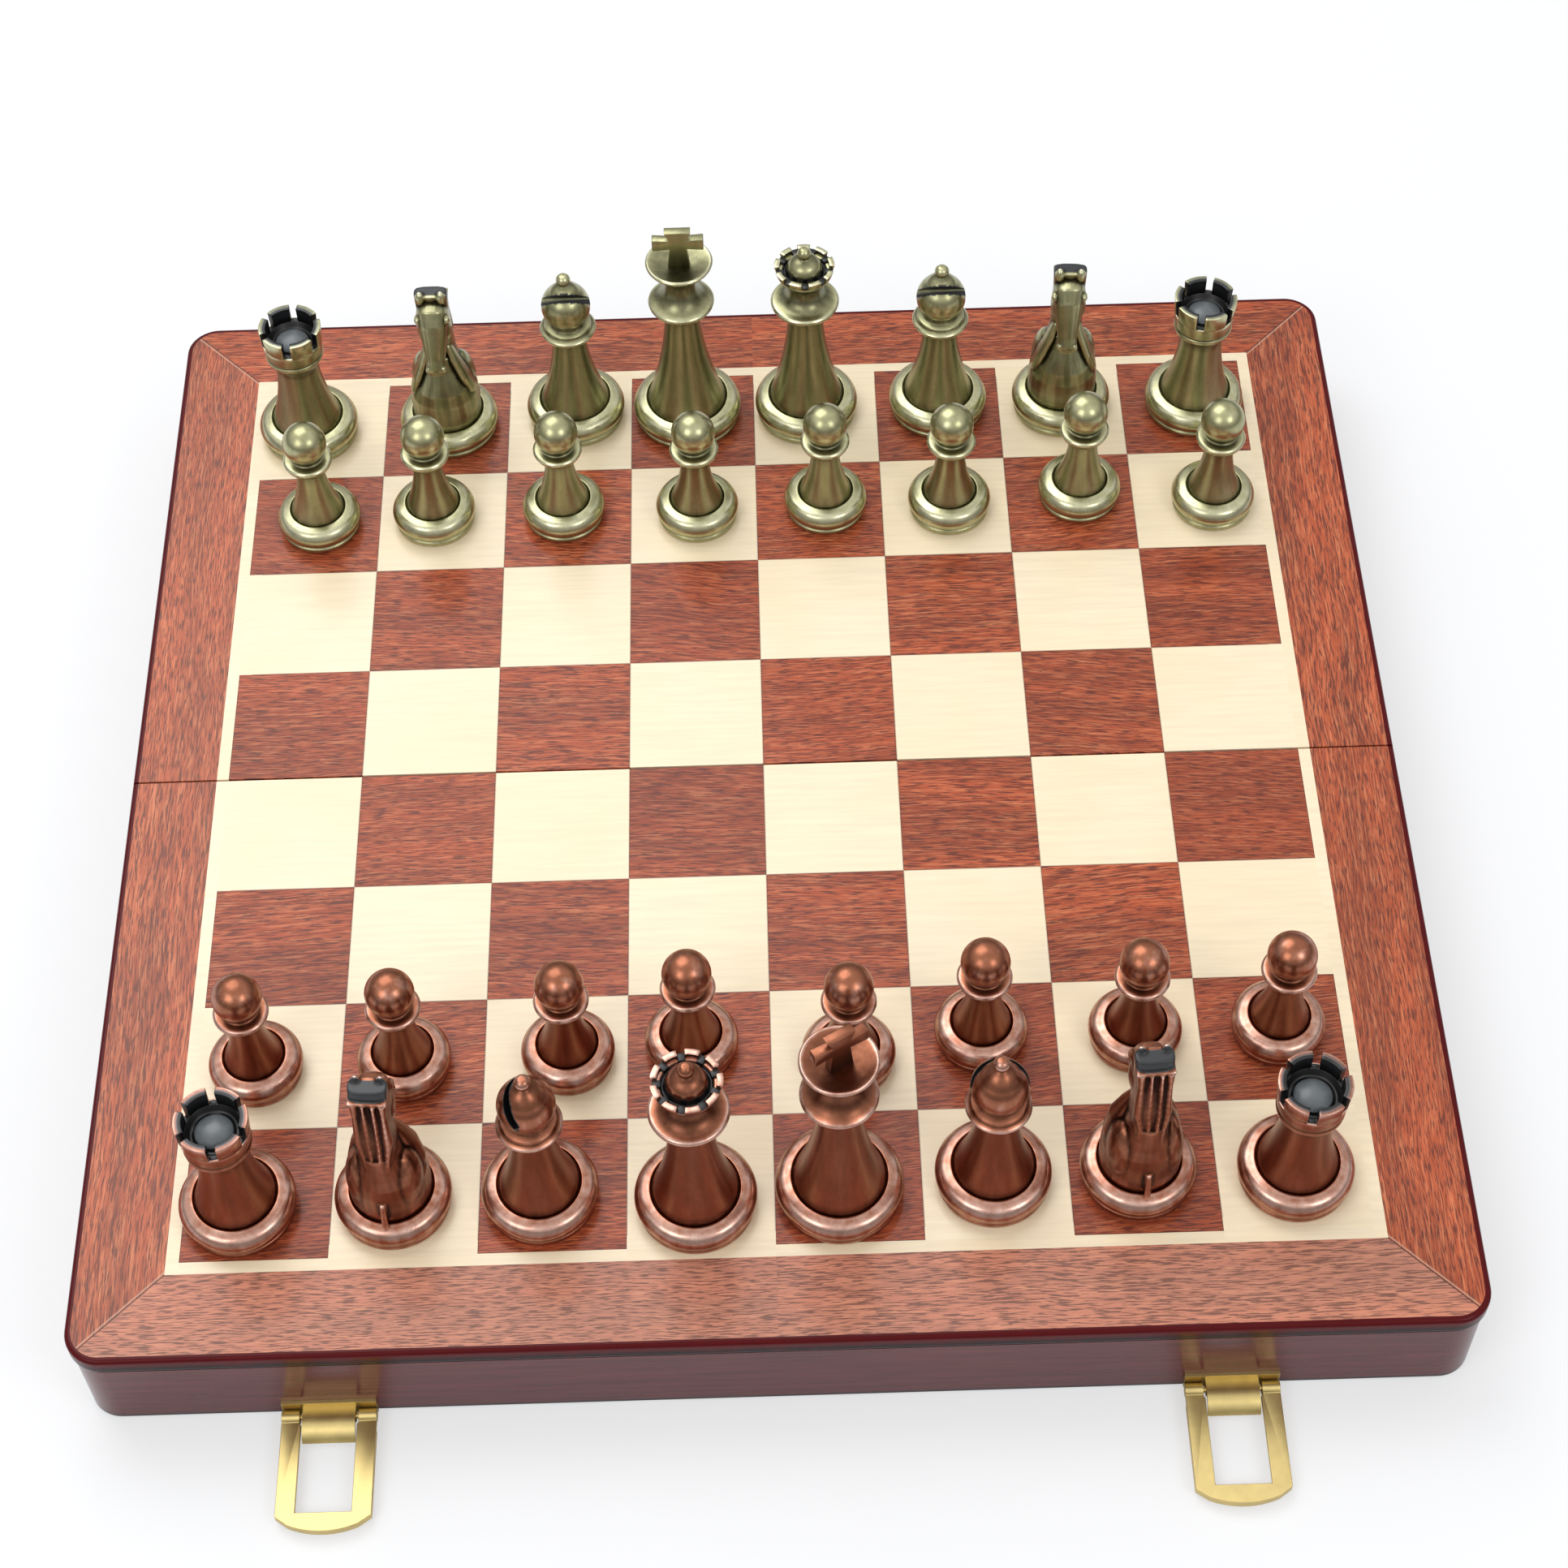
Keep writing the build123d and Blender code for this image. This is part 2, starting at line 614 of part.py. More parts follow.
def knight_neck(radius, low):
    """The neck: its side outline, its front outline and a round shoulder, where all three meet."""
    top = 48.4
    side = Line((-radius, low), (radius, low))
    side += ThreePointArc((radius, low), (8.5, 15.0), (6.6, 23.0))
    side += ThreePointArc((6.6, 23.0), (5.1, 35.0), (2.6, top))
    side += Line((2.6, top), (-1.6, top)) + Line((-1.6, top), (-2.2, 31.0))
    side += ThreePointArc((-2.2, 31.0), (-5.2, 24.6), (-8.6, 17.6))
    side += ThreePointArc((-8.6, 17.6), (-8.9, 12.6), (-radius, low))
    solid = along_x(make_face(side), -radius, 2 * radius)
    half_top = 4.3
    left = ThreePointArc((-radius, low), (-8.6, 14.0), (-7.9, 19.0))
    left += ThreePointArc((-7.9, 19.0), (-5.4, 24.5), (-half_top, 31.0))
    left += Line((-half_top, 31.0), (-half_top, top))
    front = left + Line((-half_top, top), (half_top, top)) + mirror(left, Plane.YZ)
    front += Line((radius, low), (-radius, low))
    solid &= along_y(make_face(front), -radius - 1, 2 * radius + 2)
    return solid & (Pos(0, 0, top / 2) * Cylinder(radius + 0.15, top))


def knight_head():
    """The head: long face and rounded cheek, tapered to the muzzle, with a mouth and ears."""
    side = Line((-1.0, 48.6), (-3.4, 46.4))
    side += ThreePointArc((-3.4, 46.4), (-5.0, 44.6), (-5.4, 42.4))
    side += ThreePointArc((-5.4, 42.4), (-7.0, 37.2), (-9.8, 32.4))
    side += ThreePointArc((-9.8, 32.4), (-10.8, 29.9), (-9.6, 27.8))
    side += Line((-9.6, 27.8), (-7.4, 27.6))
    side += ThreePointArc((-7.4, 27.6), (-5.8, 30.2), (-4.0, 31.8))
    side += ThreePointArc((-4.0, 31.8), (-0.8, 32.8), (1.2, 36.4))
    side += Line((1.2, 36.4), (1.6, 48.6)) + Line((1.6, 48.6), (-1.0, 48.6))
    solid = along_x(make_face(side), -5.0, 10.0)
    muzzle = 2.9
    brow = 3.9
    front = Polyline((-muzzle, 27.0), (muzzle, 27.0), (brow, 40.0), (brow, 49.0),
                     (-brow, 49.0), (-brow, 40.0), close=True)
    solid &= along_y(make_face(front), -12.0, 15.0)
    mouth = Pos(0, -9.6, 29.6) * Rot(-38, 0, 0) * Box(8.0, 4.4, 0.6)
    eyes = rod(-4.2, 4.2, -3.4, 42.6, 1.1)
    return solid - mouth + eyes


def knight_ears():
    """Two upright ears with sloping tips, and the notch between them."""
    half_width = 4.4
    half_notch = 0.9
    section = Polyline((-2.4, 44.6), (1.4, 44.6), (1.2, 48.6), (-0.6, 49.7), (-2.2, 48.0), close=True)
    ears = along_x(make_face(section), -half_width, 2 * half_width)
    return ears - box((-half_notch, -3.0, 48.4), (half_notch, 3.0, 50.0))


def mane():
    """Mane: a ridge down the middle of the neck's back with scalloped locks, and its tail."""
    half_thickness = 0.9
    locks = 7
    low = NECK_LOW
    high = NECK_LOW + NECK_RISE
    inside = 2.0
    stand_off = 0.7
    bulge = 0.7
    previous = (neck_back(low) + stand_off, low)
    edges = Line((inside, high), (inside, low)) + Line((inside, low), previous)
    for index in range(1, locks + 1):
        height = low + NECK_RISE * index / locks
        point = (neck_back(height) + stand_off, height)
        middle = ((previous[0] + point[0]) / 2 + bulge, (previous[1] + point[1]) / 2)
        edges += ThreePointArc(previous, middle, point)
        previous = point
    edges += Line(previous, (inside, high))
    ridge = along_x(make_face(edges), -half_thickness, 2 * half_thickness)
    tail = Polyline((7.0, 12.0), (8.6, 12.0), (10.6, 6.5), (7.0, 6.5), close=True)
    return ridge + along_x(make_face(tail), -half_thickness, 2 * half_thickness)


def neck_back(height):
    """How far back the knight's neck reaches at a height."""
    share = (height - NECK_LOW) / NECK_RISE
    at_foot = 8.7
    at_top = 2.7
    return at_foot - (at_foot - at_top) * share ** 0.9


def board_half(prefix, place):
    """The wooden pieces and the liner of one half."""
    add(prefix + "_panel", [place(panel())])
    wall = outer_wall()
    if prefix == "front":
        wall = cut_latch_seats(wall)
    else:
        turned_points = [(-x, -y, z) for x, y, z in catch_screw_points()]
        wall = cut_screws(wall, turned_points, (0, 1, 0))
    add(prefix + "_outer_wall", [place(wall)])
    add(prefix + "_side_walls", [place(solid) for solid in side_walls()])
    inner = cut_screws(seam_wall(), hinge_screw_points(), UP)
    add(prefix + "_seam_wall", [place(inner)])
    add(prefix + "_border_veneer", [place(solid) for solid in border_veneer()])
    add(prefix + "_maple_line", [place(solid) for solid in maple_line()])
    add(prefix + "_dark_squares", [place(solid) for solid in squares(True)])
    add(prefix + "_light_squares", [place(solid) for solid in squares(False)])
    add(prefix + "_foam_liner", [place(solid) for solid in foam_liner()])


def cut_latch_seats(wall):
    """Recesses under the front wall for the latch flanges, and their screw holes."""
    reach = LATCH_WIDTH / 2 + LEAF_RECESS_CLEAR
    depth = LEAF_RISE + PLATE + LEAF_RECESS_CLEAR
    back = -WALL_FACE + FLANGE_DEPTH + LEAF_RECESS_CLEAR
    for latch in (-LATCH_X, LATCH_X):
        wall -= box((latch - reach, -HALF - 1, -1), (latch + reach, back, depth))
    return cut_screws(wall, latch_screw_points(), UP)


def ironmongery():
    """Hinges, latches, catches and their screws."""
    hinges = (-HINGE_X, HINGE_X)
    latches = (-LATCH_X, LATCH_X)
    front_points = hinge_screw_points()
    back_points = [(x, -y, z) for x, y, z in front_points]
    front_leaves = [cut_screws(hinge_leaf(x, True), front_points, UP) for x in hinges]
    back_leaves = [cut_screws(hinge_leaf(x, False), back_points, UP) for x in hinges]
    add("front_hinge_leaves", front_leaves)
    add("back_hinge_leaves", back_leaves)
    add("hinge_pins", [hinge_pin(x) for x in hinges])
    add("latch_bases", [cut_screws(latch_base(x), latch_screw_points(), UP) for x in latches])
    add("latch_pins", [latch_pin(x) for x in latches])
    add("left_latch_loop", [latch_loop(-LATCH_X)])
    add("right_latch_loop", [latch_loop(LATCH_X)])
    add("latch_catches", [cut_screws(catch(x), catch_screw_points(), TOWARDS_FRONT) for x in latches])
    add("front_screws", [screw(*point, UP) for point in front_points + latch_screw_points()])
    back_screws = [screw(*point, UP) for point in back_points]
    back_screws += [screw(*point, TOWARDS_FRONT) for point in catch_screw_points()]
    add("back_screws", back_screws)


# Where each man stands, in squares from the front left corner of the field, and how far it
# is turned about Z, in degrees.
COPPER_MEN = {
    "rook_left": (rook, 0.38, 0.40, 20),
    "knight_left": (knight, 1.43, 0.42, 176),
    "bishop_left": (bishop, 2.42, 0.42, -80),
    "queen": (queen, 3.47, 0.34, 0),
    "king": (king, 4.44, 0.40, 30),
    "bishop_right": (bishop, 5.48, 0.45, 180),
    "knight_right": (knight, 6.46, 0.47, 184),
    "rook_right": (rook, 7.52, 0.42, 5),
}
BRONZE_MEN = {
    "rook_left": (rook, 0.38, 7.52, 12),
    "knight_left": (knight, 1.52, 7.54, 0),
    "bishop_left": (bishop, 2.55, 7.63, 0),
    "king": (king, 3.46, 7.60, 0),
    "queen": (queen, 4.43, 7.60, 10),
    "bishop_right": (bishop, 5.50, 7.60, 0),
    "knight_right": (knight, 6.50, 7.58, -4),
    "rook_right": (rook, 7.58, 7.53, 0),
}
COPPER_PAWNS = [(0.42, 1.48), (1.45, 1.48), (2.59, 1.50), (3.45, 1.56),
                (4.54, 1.42), (5.47, 1.58), (6.54, 1.54), (7.54, 1.56)]
BRONZE_PAWNS = [(0.53, 6.51), (1.44, 6.54), (2.47, 6.54), (3.53, 6.50),
                (4.55, 6.54), (5.53, 6.50), (6.57, 6.58), (7.62, 6.46)]


def stand(man, file, rank, turn):
    """A man on its square."""
    x = (file - 4) * SQUARE
    y = (rank - 4) * SQUARE
    return Pos(x, y, THICKNESS) * Rot(0, 0, turn) * man


def army(metal, men, pawns):
    """All sixteen men of one metal, each in a node of its own."""
    shapes = {}
    for name, (maker, file, rank, turn) in men.items():
        if maker not in shapes:
            shapes[maker] = maker()
        add(metal + "_" + name, [stand(shapes[maker], file, rank, turn)])
    shape = pawn()
    for index, (file, rank) in enumerate(pawns):
        add(metal + "_pawn_" + str(index + 1), [stand(shape, file, rank, 0)])


def main():
    board_half("front", lambda shape: shape)
    board_half("back", turn_back)
    ironmongery()
    army("copper", COPPER_MEN, COPPER_PAWNS)
    army("bronze", BRONZE_MEN, BRONZE_PAWNS)
    os.makedirs("parts", exist_ok=True)
    for name, solids in PARTS.items():
        export_step(Compound(children=list(solids)), "parts/" + name + ".step")
    print(len(PARTS), "nodes")


main()
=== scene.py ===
"""Folding chess set: finishes, fine forms, camera and stage around the packed frame."""
import bpy
import bmesh
import cmath
import math
import numpy as np
from mathutils import Matrix, Vector


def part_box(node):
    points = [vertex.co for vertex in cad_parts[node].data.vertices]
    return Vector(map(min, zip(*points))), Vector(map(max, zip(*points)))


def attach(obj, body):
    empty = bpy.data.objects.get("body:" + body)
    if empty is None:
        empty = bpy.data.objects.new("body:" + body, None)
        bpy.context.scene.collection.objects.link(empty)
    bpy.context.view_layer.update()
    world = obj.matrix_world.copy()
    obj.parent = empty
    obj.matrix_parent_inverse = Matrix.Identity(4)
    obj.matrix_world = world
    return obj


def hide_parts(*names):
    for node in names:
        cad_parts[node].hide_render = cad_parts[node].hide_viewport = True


bl_info = {
    "name": "Folding Chess Set",
    "version": (1, 0, 0),
    "blender": (4, 5, 0),
    "location": "View3D > Sidebar > Chess Set",
    "description": "Builds the finishes and fine forms of a folding chess set around its frame",
    "category": "Add Mesh",
}

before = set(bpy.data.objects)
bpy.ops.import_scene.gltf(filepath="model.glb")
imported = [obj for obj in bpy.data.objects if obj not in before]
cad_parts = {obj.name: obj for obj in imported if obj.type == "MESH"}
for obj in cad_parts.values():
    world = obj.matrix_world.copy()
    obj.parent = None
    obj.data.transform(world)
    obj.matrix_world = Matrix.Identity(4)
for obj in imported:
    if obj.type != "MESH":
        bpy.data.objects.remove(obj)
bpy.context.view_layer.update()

MM = 0.001
METALS = ("copper", "bronze")
HALVES = ("front", "back")
OFFICERS = ("rook_left", "knight_left", "bishop_left", "queen", "king", "bishop_right",
            "knight_right", "rook_right")

# Men, in millimetres: the radius of each foot, its height, and how far the body stands in from it
KING_FOOT = 13.85
QUEEN_FOOT = 13.2
OFFICER_FOOT = 12.6
PAWN_FOOT = 10.4
FOOT_HEIGHT = 6.8
FOOT_LEDGE = 3.9

# How pale the swells are stored, from wear and painted highlight, and how dark the deepest recesses
PALE_SWELL = -0.6
DEEP = 0.85

# How far each man is turned about its own axis, in degrees. The rest stand at 0.
TURNS = {
    "copper_rook_left": 20,
    "copper_knight_left": 176,
    "copper_bishop_left": -110,
    "copper_king": 30,
    "copper_bishop_right": 180,
    "copper_knight_right": 184,
    "copper_rook_right": 5,
    "bronze_rook_left": 12,
    "bronze_queen": 10,
    "bronze_knight_right": -4,
}

RING_TREE = "Copies round an axis"


def srgb(red, green, blue):
    """A colour written as 0 to 255 in a picture, as the linear colour a shader takes."""
    linear = []
    for value in (red, green, blue):
        share = value / 255
        linear.append(share / 12.92 if share <= 0.04045 else ((share + 0.055) / 1.055) ** 2.4)
    return (*linear, 1.0)


def shade(colour, factor):
    """A colour made darker or lighter."""
    return (*(min(1.0, channel * factor) for channel in colour[:3]), 1.0)


# Settings that a user would change


def colour_setting(name, description, red, green, blue):
    return bpy.props.FloatVectorProperty(name=name, description=description, subtype="COLOR",
                                         size=4, default=srgb(red, green, blue))


def length_setting(name, description, length):
    return bpy.props.FloatProperty(name=name, description=description, unit="LENGTH",
                                   default=length * MM)


class ChessBoardSettings(bpy.types.PropertyGroup):
    """Sizes and woods of the board."""

    square: length_setting("Square", "Side of one square", 31.8)
    thickness: length_setting("Case height", "From the rims to the playing surface", 27.5)
    maple: colour_setting("Maple", "Colour of the light squares", 253, 234, 200)
    rosewood: colour_setting("Rosewood", "Middle colour of the dark veneer", 176, 80, 44)
    rosewood_pale: colour_setting("Rosewood streaks", "Colour of the pale streaks", 224, 140, 96)
    rosewood_dark: colour_setting("Rosewood pores", "Colour of the dark streaks", 80, 30, 22)
    lacquer: colour_setting("Edge lacquer", "Colour of the board's rounded edge", 82, 7, 12)
    wall: colour_setting("Wall veneer", "Colour of the case walls", 92, 42, 43)


class ChessMenSettings(bpy.types.PropertyGroup):
    """Fineness and metals of the men."""

    facets: bpy.props.IntProperty(
        name="Facets", description="Facets round a turned man", default=72, min=24)
    # Swell colours: wear and painted highlight on the men's swells
    copper_worn: colour_setting("Copper swells", "Worn swells of the copper men", 228, 194, 180)
    copper: colour_setting("Copper", "Plain metal of the copper men", 142, 90, 68)
    copper_dark: colour_setting("Copper recesses", "Recesses of the copper men", 38, 17, 12)
    bronze_worn: colour_setting("Bronze swells", "Worn swells of the bronze men", 214, 211, 180)
    bronze: colour_setting("Bronze", "Plain metal of the bronze men", 154, 152, 116)
    bronze_dark: colour_setting("Bronze recesses", "Recesses of the bronze men", 38, 34, 20)


class ChessFittingSettings(bpy.types.PropertyGroup):
    """The gilt hinges, latches and screws."""

    gilt: colour_setting("Gilt", "Colour of the plated brass", 214, 192, 130)
    edge_ease: length_setting("Edge ease", "Rounding of the sheet metal's edges", 0.14)


class ChessStageSettings(bpy.types.PropertyGroup):
    """Camera and floor."""

    lens: bpy.props.FloatProperty(
        name="Lens", description="Focal length on a 36 mm sensor, in millimetres",
        default=68.89)
    camera_place: bpy.props.FloatVectorProperty(
        name="Camera place", description="Where the camera stands", subtype="TRANSLATION",
        unit="LENGTH", default=(0.00368, -0.42424, 0.60129))
    camera_turn: bpy.props.FloatVectorProperty(
        name="Camera turn", description="Turn of the camera", subtype="EULER", unit="ROTATION",
        default=tuple(math.radians(angle) for angle in (36.077, 0.952, -1.454)))
    floor_height: length_setting("Floor height", "Height of the floor, under the hinge barrels",
                                 -1.15)


# Node trees


def by_node(operation, turned=False):
    """A method that does a sum by a node, with the signal last if it is turned."""

    def method(signal, *others):
        return signal.net.math(operation, *((*others, signal) if turned else (signal, *others)))

    return method


class Signal:
    """The output of a node, on which sums are done by more nodes."""

    def __init__(self, net, socket):
        self.net = net
        self.socket = socket

    __add__ = by_node("ADD")
    __sub__ = by_node("SUBTRACT")
    __rsub__ = by_node("SUBTRACT", turned=True)
    __mul__ = by_node("MULTIPLY")
    __truediv__ = by_node("DIVIDE")
    __rtruediv__ = by_node("DIVIDE", turned=True)
    __abs__ = by_node("ABSOLUTE")
    __floor__ = by_node("FLOOR")
    __round__ = by_node("ROUND")


class Net:
    """A node tree under construction."""

    def __init__(self, tree):
        self.tree = tree

    def feed(self, socket, value):
        """Link a socket to a signal, or set it to a constant."""
        if isinstance(value, Signal):
            self.tree.links.new(value.socket, socket)
        else:
            socket.default_value = value

    def node(self, kind, output, inputs=None, **settings):
        """A new node with its inputs fed. Returns the signal of one output."""
        made = self.tree.nodes.new(kind)
        for name, value in settings.items():
            setattr(made, name, value)
        for key, value in (inputs or {}).items():
            self.feed(made.inputs[key], value)
        return None if output is None else Signal(self, made.outputs[output])

    def every(self, signal):
        """Signals of all the outputs of a signal's node."""
        return [Signal(self, socket) for socket in signal.socket.node.outputs]

    def math(self, operation, *values):
        return self.node("ShaderNodeMath", 0, dict(enumerate(values)), operation=operation)

    def split(self, vector):
        return self.every(self.node("ShaderNodeSeparateXYZ", 0, {0: vector}))

    def join(self, *values):
        return self.node("ShaderNodeCombineXYZ", 0, dict(enumerate(values)))


class Finish(Net):
    """A material under construction, with short calls for the nodes that the finishes share."""

    def __init__(self, name):
        self.material = bpy.data.materials.new(name)
        self.material.use_nodes = True
        super().__init__(self.material.node_tree)
        self.shader = self.tree.nodes["Principled BSDF"]
        self.place = self.node("ShaderNodeTexCoord", "Object")

    def between(self, value, low, high):
        """0 at low, 1 at high, clamped."""
        return self.node("ShaderNodeMapRange", "Result",
                         {"Value": value, "From Min": low, "From Max": high}, clamp=True)

    def noise(self, vector, scale, detail, roughness=0.5, distortion=0.0):
        return self.node("ShaderNodeTexNoise", "Fac", {
            "Vector": vector, "Scale": scale, "Detail": detail, "Roughness": roughness,
            "Distortion": distortion})

    def drawn_out(self, *scales):
        """Plain noise with its own scale along each axis."""
        place = self.node("ShaderNodeVectorMath", 0, {0: self.place, 1: scales},
                          operation="MULTIPLY")
        return self.noise(place, 1.0, 2.0)

    def chance(self, *vector):
        """A random value for each cell of a stepped vector."""
        return self.node("ShaderNodeTexWhiteNoise", "Value", {"Vector": self.join(*vector)},
                         noise_dimensions="3D")

    def mix(self, share, first, second):
        return self.node("ShaderNodeMix", 2, {0: share, 6: first, 7: second}, data_type="RGBA")

    def ramp(self, value, *stops):
        """Colours at places from 0 to 1."""
        made = self.node("ShaderNodeValToRGB", 0, {0: value})
        elements = made.socket.node.color_ramp.elements
        while len(elements) < len(stops):
            elements.new(0.5)
        for element, (position, colour) in zip(elements, stops):
            element.position = position
            element.color = colour
        return made

    def bump(self, height, strength, distance):
        self.feed(self.shader.inputs["Normal"], self.node("ShaderNodeBump", "Normal", {
            "Height": height, "Strength": strength, "Distance": distance}))

    def attribute(self, name):
        return self.node("ShaderNodeAttribute", "Fac", attribute_name=name)

    def done(self, **inputs):
        """Set the shader's inputs, named with underscores, and return the material."""
        for name, value in inputs.items():
            self.feed(self.shader.inputs[name.replace("_", " ").title().replace("Ior", "IOR")],
                      value)
        return self.material


# Finishes. A noise whose scale is 1 gets it from the vector, in features per metre.

VENEER_GLOSS = {"roughness": 0.4, "specular_ior_level": 0.25, "coat_weight": 0.2,
                "coat_roughness": 0.14}


def wood_grain(finish, along, across, cell, settings):
    """Rosewood colour and pore height on a flat sheet, from its two directions and a cell number."""
    offset = cell * 7.3
    wave = finish.noise(finish.join(along * 22.0, offset, cell), 1.0, 2.0)
    bent = across + (wave - 0.5) * 0.0035

    def figure(along_scale, across_scale, *kind):
        place = finish.join(along * along_scale, bent * across_scale, offset)
        return finish.noise(place, 1.0, *kind)

    streak = figure(95.0, 1500.0, 4.0, 0.62, 0.25)
    pore = figure(260.0, 3300.0, 2.0)
    band = figure(12.0, 130.0, 2.0)
    middle = settings.rosewood
    colour = finish.ramp(streak, (0.32, shade(middle, 0.5)), (0.48, middle),
                         (0.66, settings.rosewood_pale))
    banded = finish.mix(finish.between(band, 0.38, 0.62), shade(middle, 0.62),
                        shade(middle, 1.5))
    colour = finish.mix(0.4, colour, banded)
    pores = finish.between(pore, 0.5, 0.41)
    return finish.mix(pores * 0.8, colour, settings.rosewood_dark), pores


def joint_lines(finish, x, y, square):
    """1 on the thin glue lines between the squares, and 0 elsewhere."""
    half_line = 0.16 * MM / square
    apart = [abs(cells - round(cells)) for cells in (x / square, y / square)]
    return finish.between(finish.math("MINIMUM", *apart), 1.6 * half_line, 0.4 * half_line)


def make_rosewood_squares():
    """Dark squares: each its own slice of veneer, its grain along X and a little askew."""
    settings = bpy.context.scene.chess_board
    finish = Finish("rosewood_squares")
    x, y, _ = finish.split(finish.place)
    column = math.floor(x / settings.square)
    row = math.floor(y / settings.square)
    cell = finish.chance(column, row, 3.0)
    lean = (finish.chance(row, column, 8.0) - 0.5) * 0.22
    colour, pores = wood_grain(finish, x, y + x * lean, cell * 40.0, settings)
    colour = finish.mix(cell * 0.3, colour, shade(settings.rosewood_dark, 1.5))
    lines = joint_lines(finish, x, y, settings.square)
    colour = finish.mix(lines * 0.55, colour, srgb(58, 28, 20))
    finish.bump(pores + lines, 0.25, 0.06 * MM)
    return finish.done(base_color=colour, **VENEER_GLOSS)


def make_rosewood_border():
    """Border strips: grain along each strip, paler at the front, mitred at the corners."""
    settings = bpy.context.scene.chess_board
    finish = Finish("rosewood_border")
    x, y, _ = finish.split(finish.place)
    wide, deep = abs(x), abs(y)
    is_end = finish.math("GREATER_THAN", deep, wide)
    along, across = (
        finish.node("ShaderNodeMix", 0, {0: is_end, 2: on_side, 3: on_end}, data_type="FLOAT")
        for on_side, on_end in ((y, x), (x, y)))
    number = is_end * 11.0 + (finish.math("SIGN", x) + finish.math("SIGN", y)) * 4.0
    colour, pores = wood_grain(finish, along, across, number, settings)
    at_front = is_end * finish.math("LESS_THAN", y, 0.0)
    at_side = (1.0 - is_end) * (finish.math("LESS_THAN", x, 0.0) * 0.15 + 0.05)
    paler = (at_front + at_side) * 0.42
    colour = finish.mix(paler, colour, srgb(226, 172, 148))
    colour = finish.mix(pores * (paler * 1.3), colour, settings.rosewood_dark)
    apart = deep - wide
    mitre = finish.between(abs(apart), 0.34 * MM, 0.14 * MM)
    beside = finish.between(abs(apart + 0.62 * MM), 0.42 * MM, 0.2 * MM)
    colour = finish.mix(beside * 0.5, colour, srgb(226, 178, 150))
    colour = finish.mix(mitre * 0.75, colour, srgb(70, 34, 28))
    finish.bump(pores + mitre, 0.25, 0.06 * MM)
    return finish.done(base_color=colour, **VENEER_GLOSS)


def make_maple():
    """Light squares and the thin line round the field: pale, with faint fine figure."""
    settings = bpy.context.scene.chess_board
    finish = Finish("maple")
    x, y, _ = finish.split(finish.place)
    cell = finish.chance(math.floor(x / settings.square), math.floor(y / settings.square), 5.0)
    figure = finish.noise(finish.join(x * 60.0, y * 900.0, cell * 30.0), 1.0, 3.0, 0.55)
    cloud = finish.noise(finish.join(x, y, cell), 34.0, 2.0)
    pale = settings.maple
    colour = finish.ramp(figure, (0.3, shade(pale, 0.93)), (0.55, pale), (0.75, shade(pale, 1.05)))
    colour = finish.mix(finish.between(cloud, 0.4, 0.75) * 0.35, colour, srgb(250, 220, 172))
    colour = finish.mix(cell * 0.16, colour, srgb(255, 238, 208))
    in_field = finish.math("LESS_THAN", finish.math("MAXIMUM", abs(x), abs(y)),
                           3.9 * settings.square)
    lines = joint_lines(finish, x, y, settings.square) * in_field
    colour = finish.mix(lines * 0.5, colour, srgb(120, 82, 56))
    finish.bump(figure + lines, 0.08, 0.05 * MM)
    return finish.done(base_color=colour, roughness=0.36, coat_weight=0.3, coat_roughness=0.18)


def make_lacquer():
    """Dark red lacquer of the rounded edge, near black low down."""
    settings = bpy.context.scene.chess_board
    finish = Finish("edge_lacquer")
    height = finish.split(finish.place)[2]
    red = settings.lacquer
    # Painted shade: the lacquer darkens to near black low on the rounded edge, where it turns away
    # from the light.
    low = finish.between(height, settings.thickness - 1.4 * MM, settings.thickness - 3.4 * MM)
    colour = finish.mix(low, red, srgb(16, 8, 10))
    blotch = finish.noise(finish.place, 210.0, 4.0, 0.6)
    colour = finish.mix(finish.between(blotch, 0.5, 0.75) * 0.3, colour, shade(red, 1.5))
    finish.bump(finish.noise(finish.place, 90.0, 2.0), 0.12, 0.08 * MM)
    return finish.done(base_color=colour, roughness=blotch * 0.1 + 0.2, specular_ior_level=0.14)


def make_wall_veneer():
    """Case walls: purplish brown printed veneer under gloss, grain lengthwise, dark at the rim."""
    finish = Finish("wall_veneer")
    x, y, z = finish.split(finish.place)
    grain = finish.noise(finish.join((x + y) * 30.0, z * 700.0, 2.0), 1.0, 4.0, 0.6, 0.2)
    middle = bpy.context.scene.chess_board.wall
    colour = finish.ramp(grain, (0.3, shade(middle, 0.7)), (0.5, middle), (0.72, shade(middle, 1.3)))
    # Painted shadow: the wall darkens over its lowest 1.2 mm, where it stands over the floor.
    colour = finish.mix(finish.between(z, 1.2 * MM, 0.5 * MM), colour, srgb(40, 24, 26))
    finish.bump(grain, 0.06, 0.05 * MM)
    return finish.done(base_color=colour, roughness=0.18, specular_ior_level=0.42)


def make_gilt():
    """Thin gilt plating on brass: bright, with faint rolling marks and a duller low sheen."""
    finish = Finish("gilt_brass")
    gold = bpy.context.scene.chess_fittings.gilt
    haze = finish.noise(finish.place, 260.0, 4.0, 0.6)
    marks = finish.drawn_out(2600.0, 160.0, 1.0)
    colour = finish.mix(finish.between(haze, 0.35, 0.75), shade(gold, 0.9), shade(gold, 1.06))
    finish.bump(marks, 0.02, 0.02 * MM)
    return finish.done(base_color=colour, metallic=1.0, roughness=haze * 0.12 + 0.32)


def make_foam():
    """Black open-cell foam."""
    finish = Finish("liner_foam")
    cells = finish.node("ShaderNodeTexVoronoi", "Distance",
                        {"Vector": finish.place, "Scale": 1500.0})
    grit = finish.noise(finish.place, 420.0, 4.0, 0.7)
    colour = finish.ramp(grit, (0.35, srgb(20, 20, 22)), (0.7, srgb(52, 52, 56)))
    finish.bump(cells, 0.6, 0.4 * MM)
    return finish.done(base_color=colour, roughness=0.95, specular_ior_level=0.15)


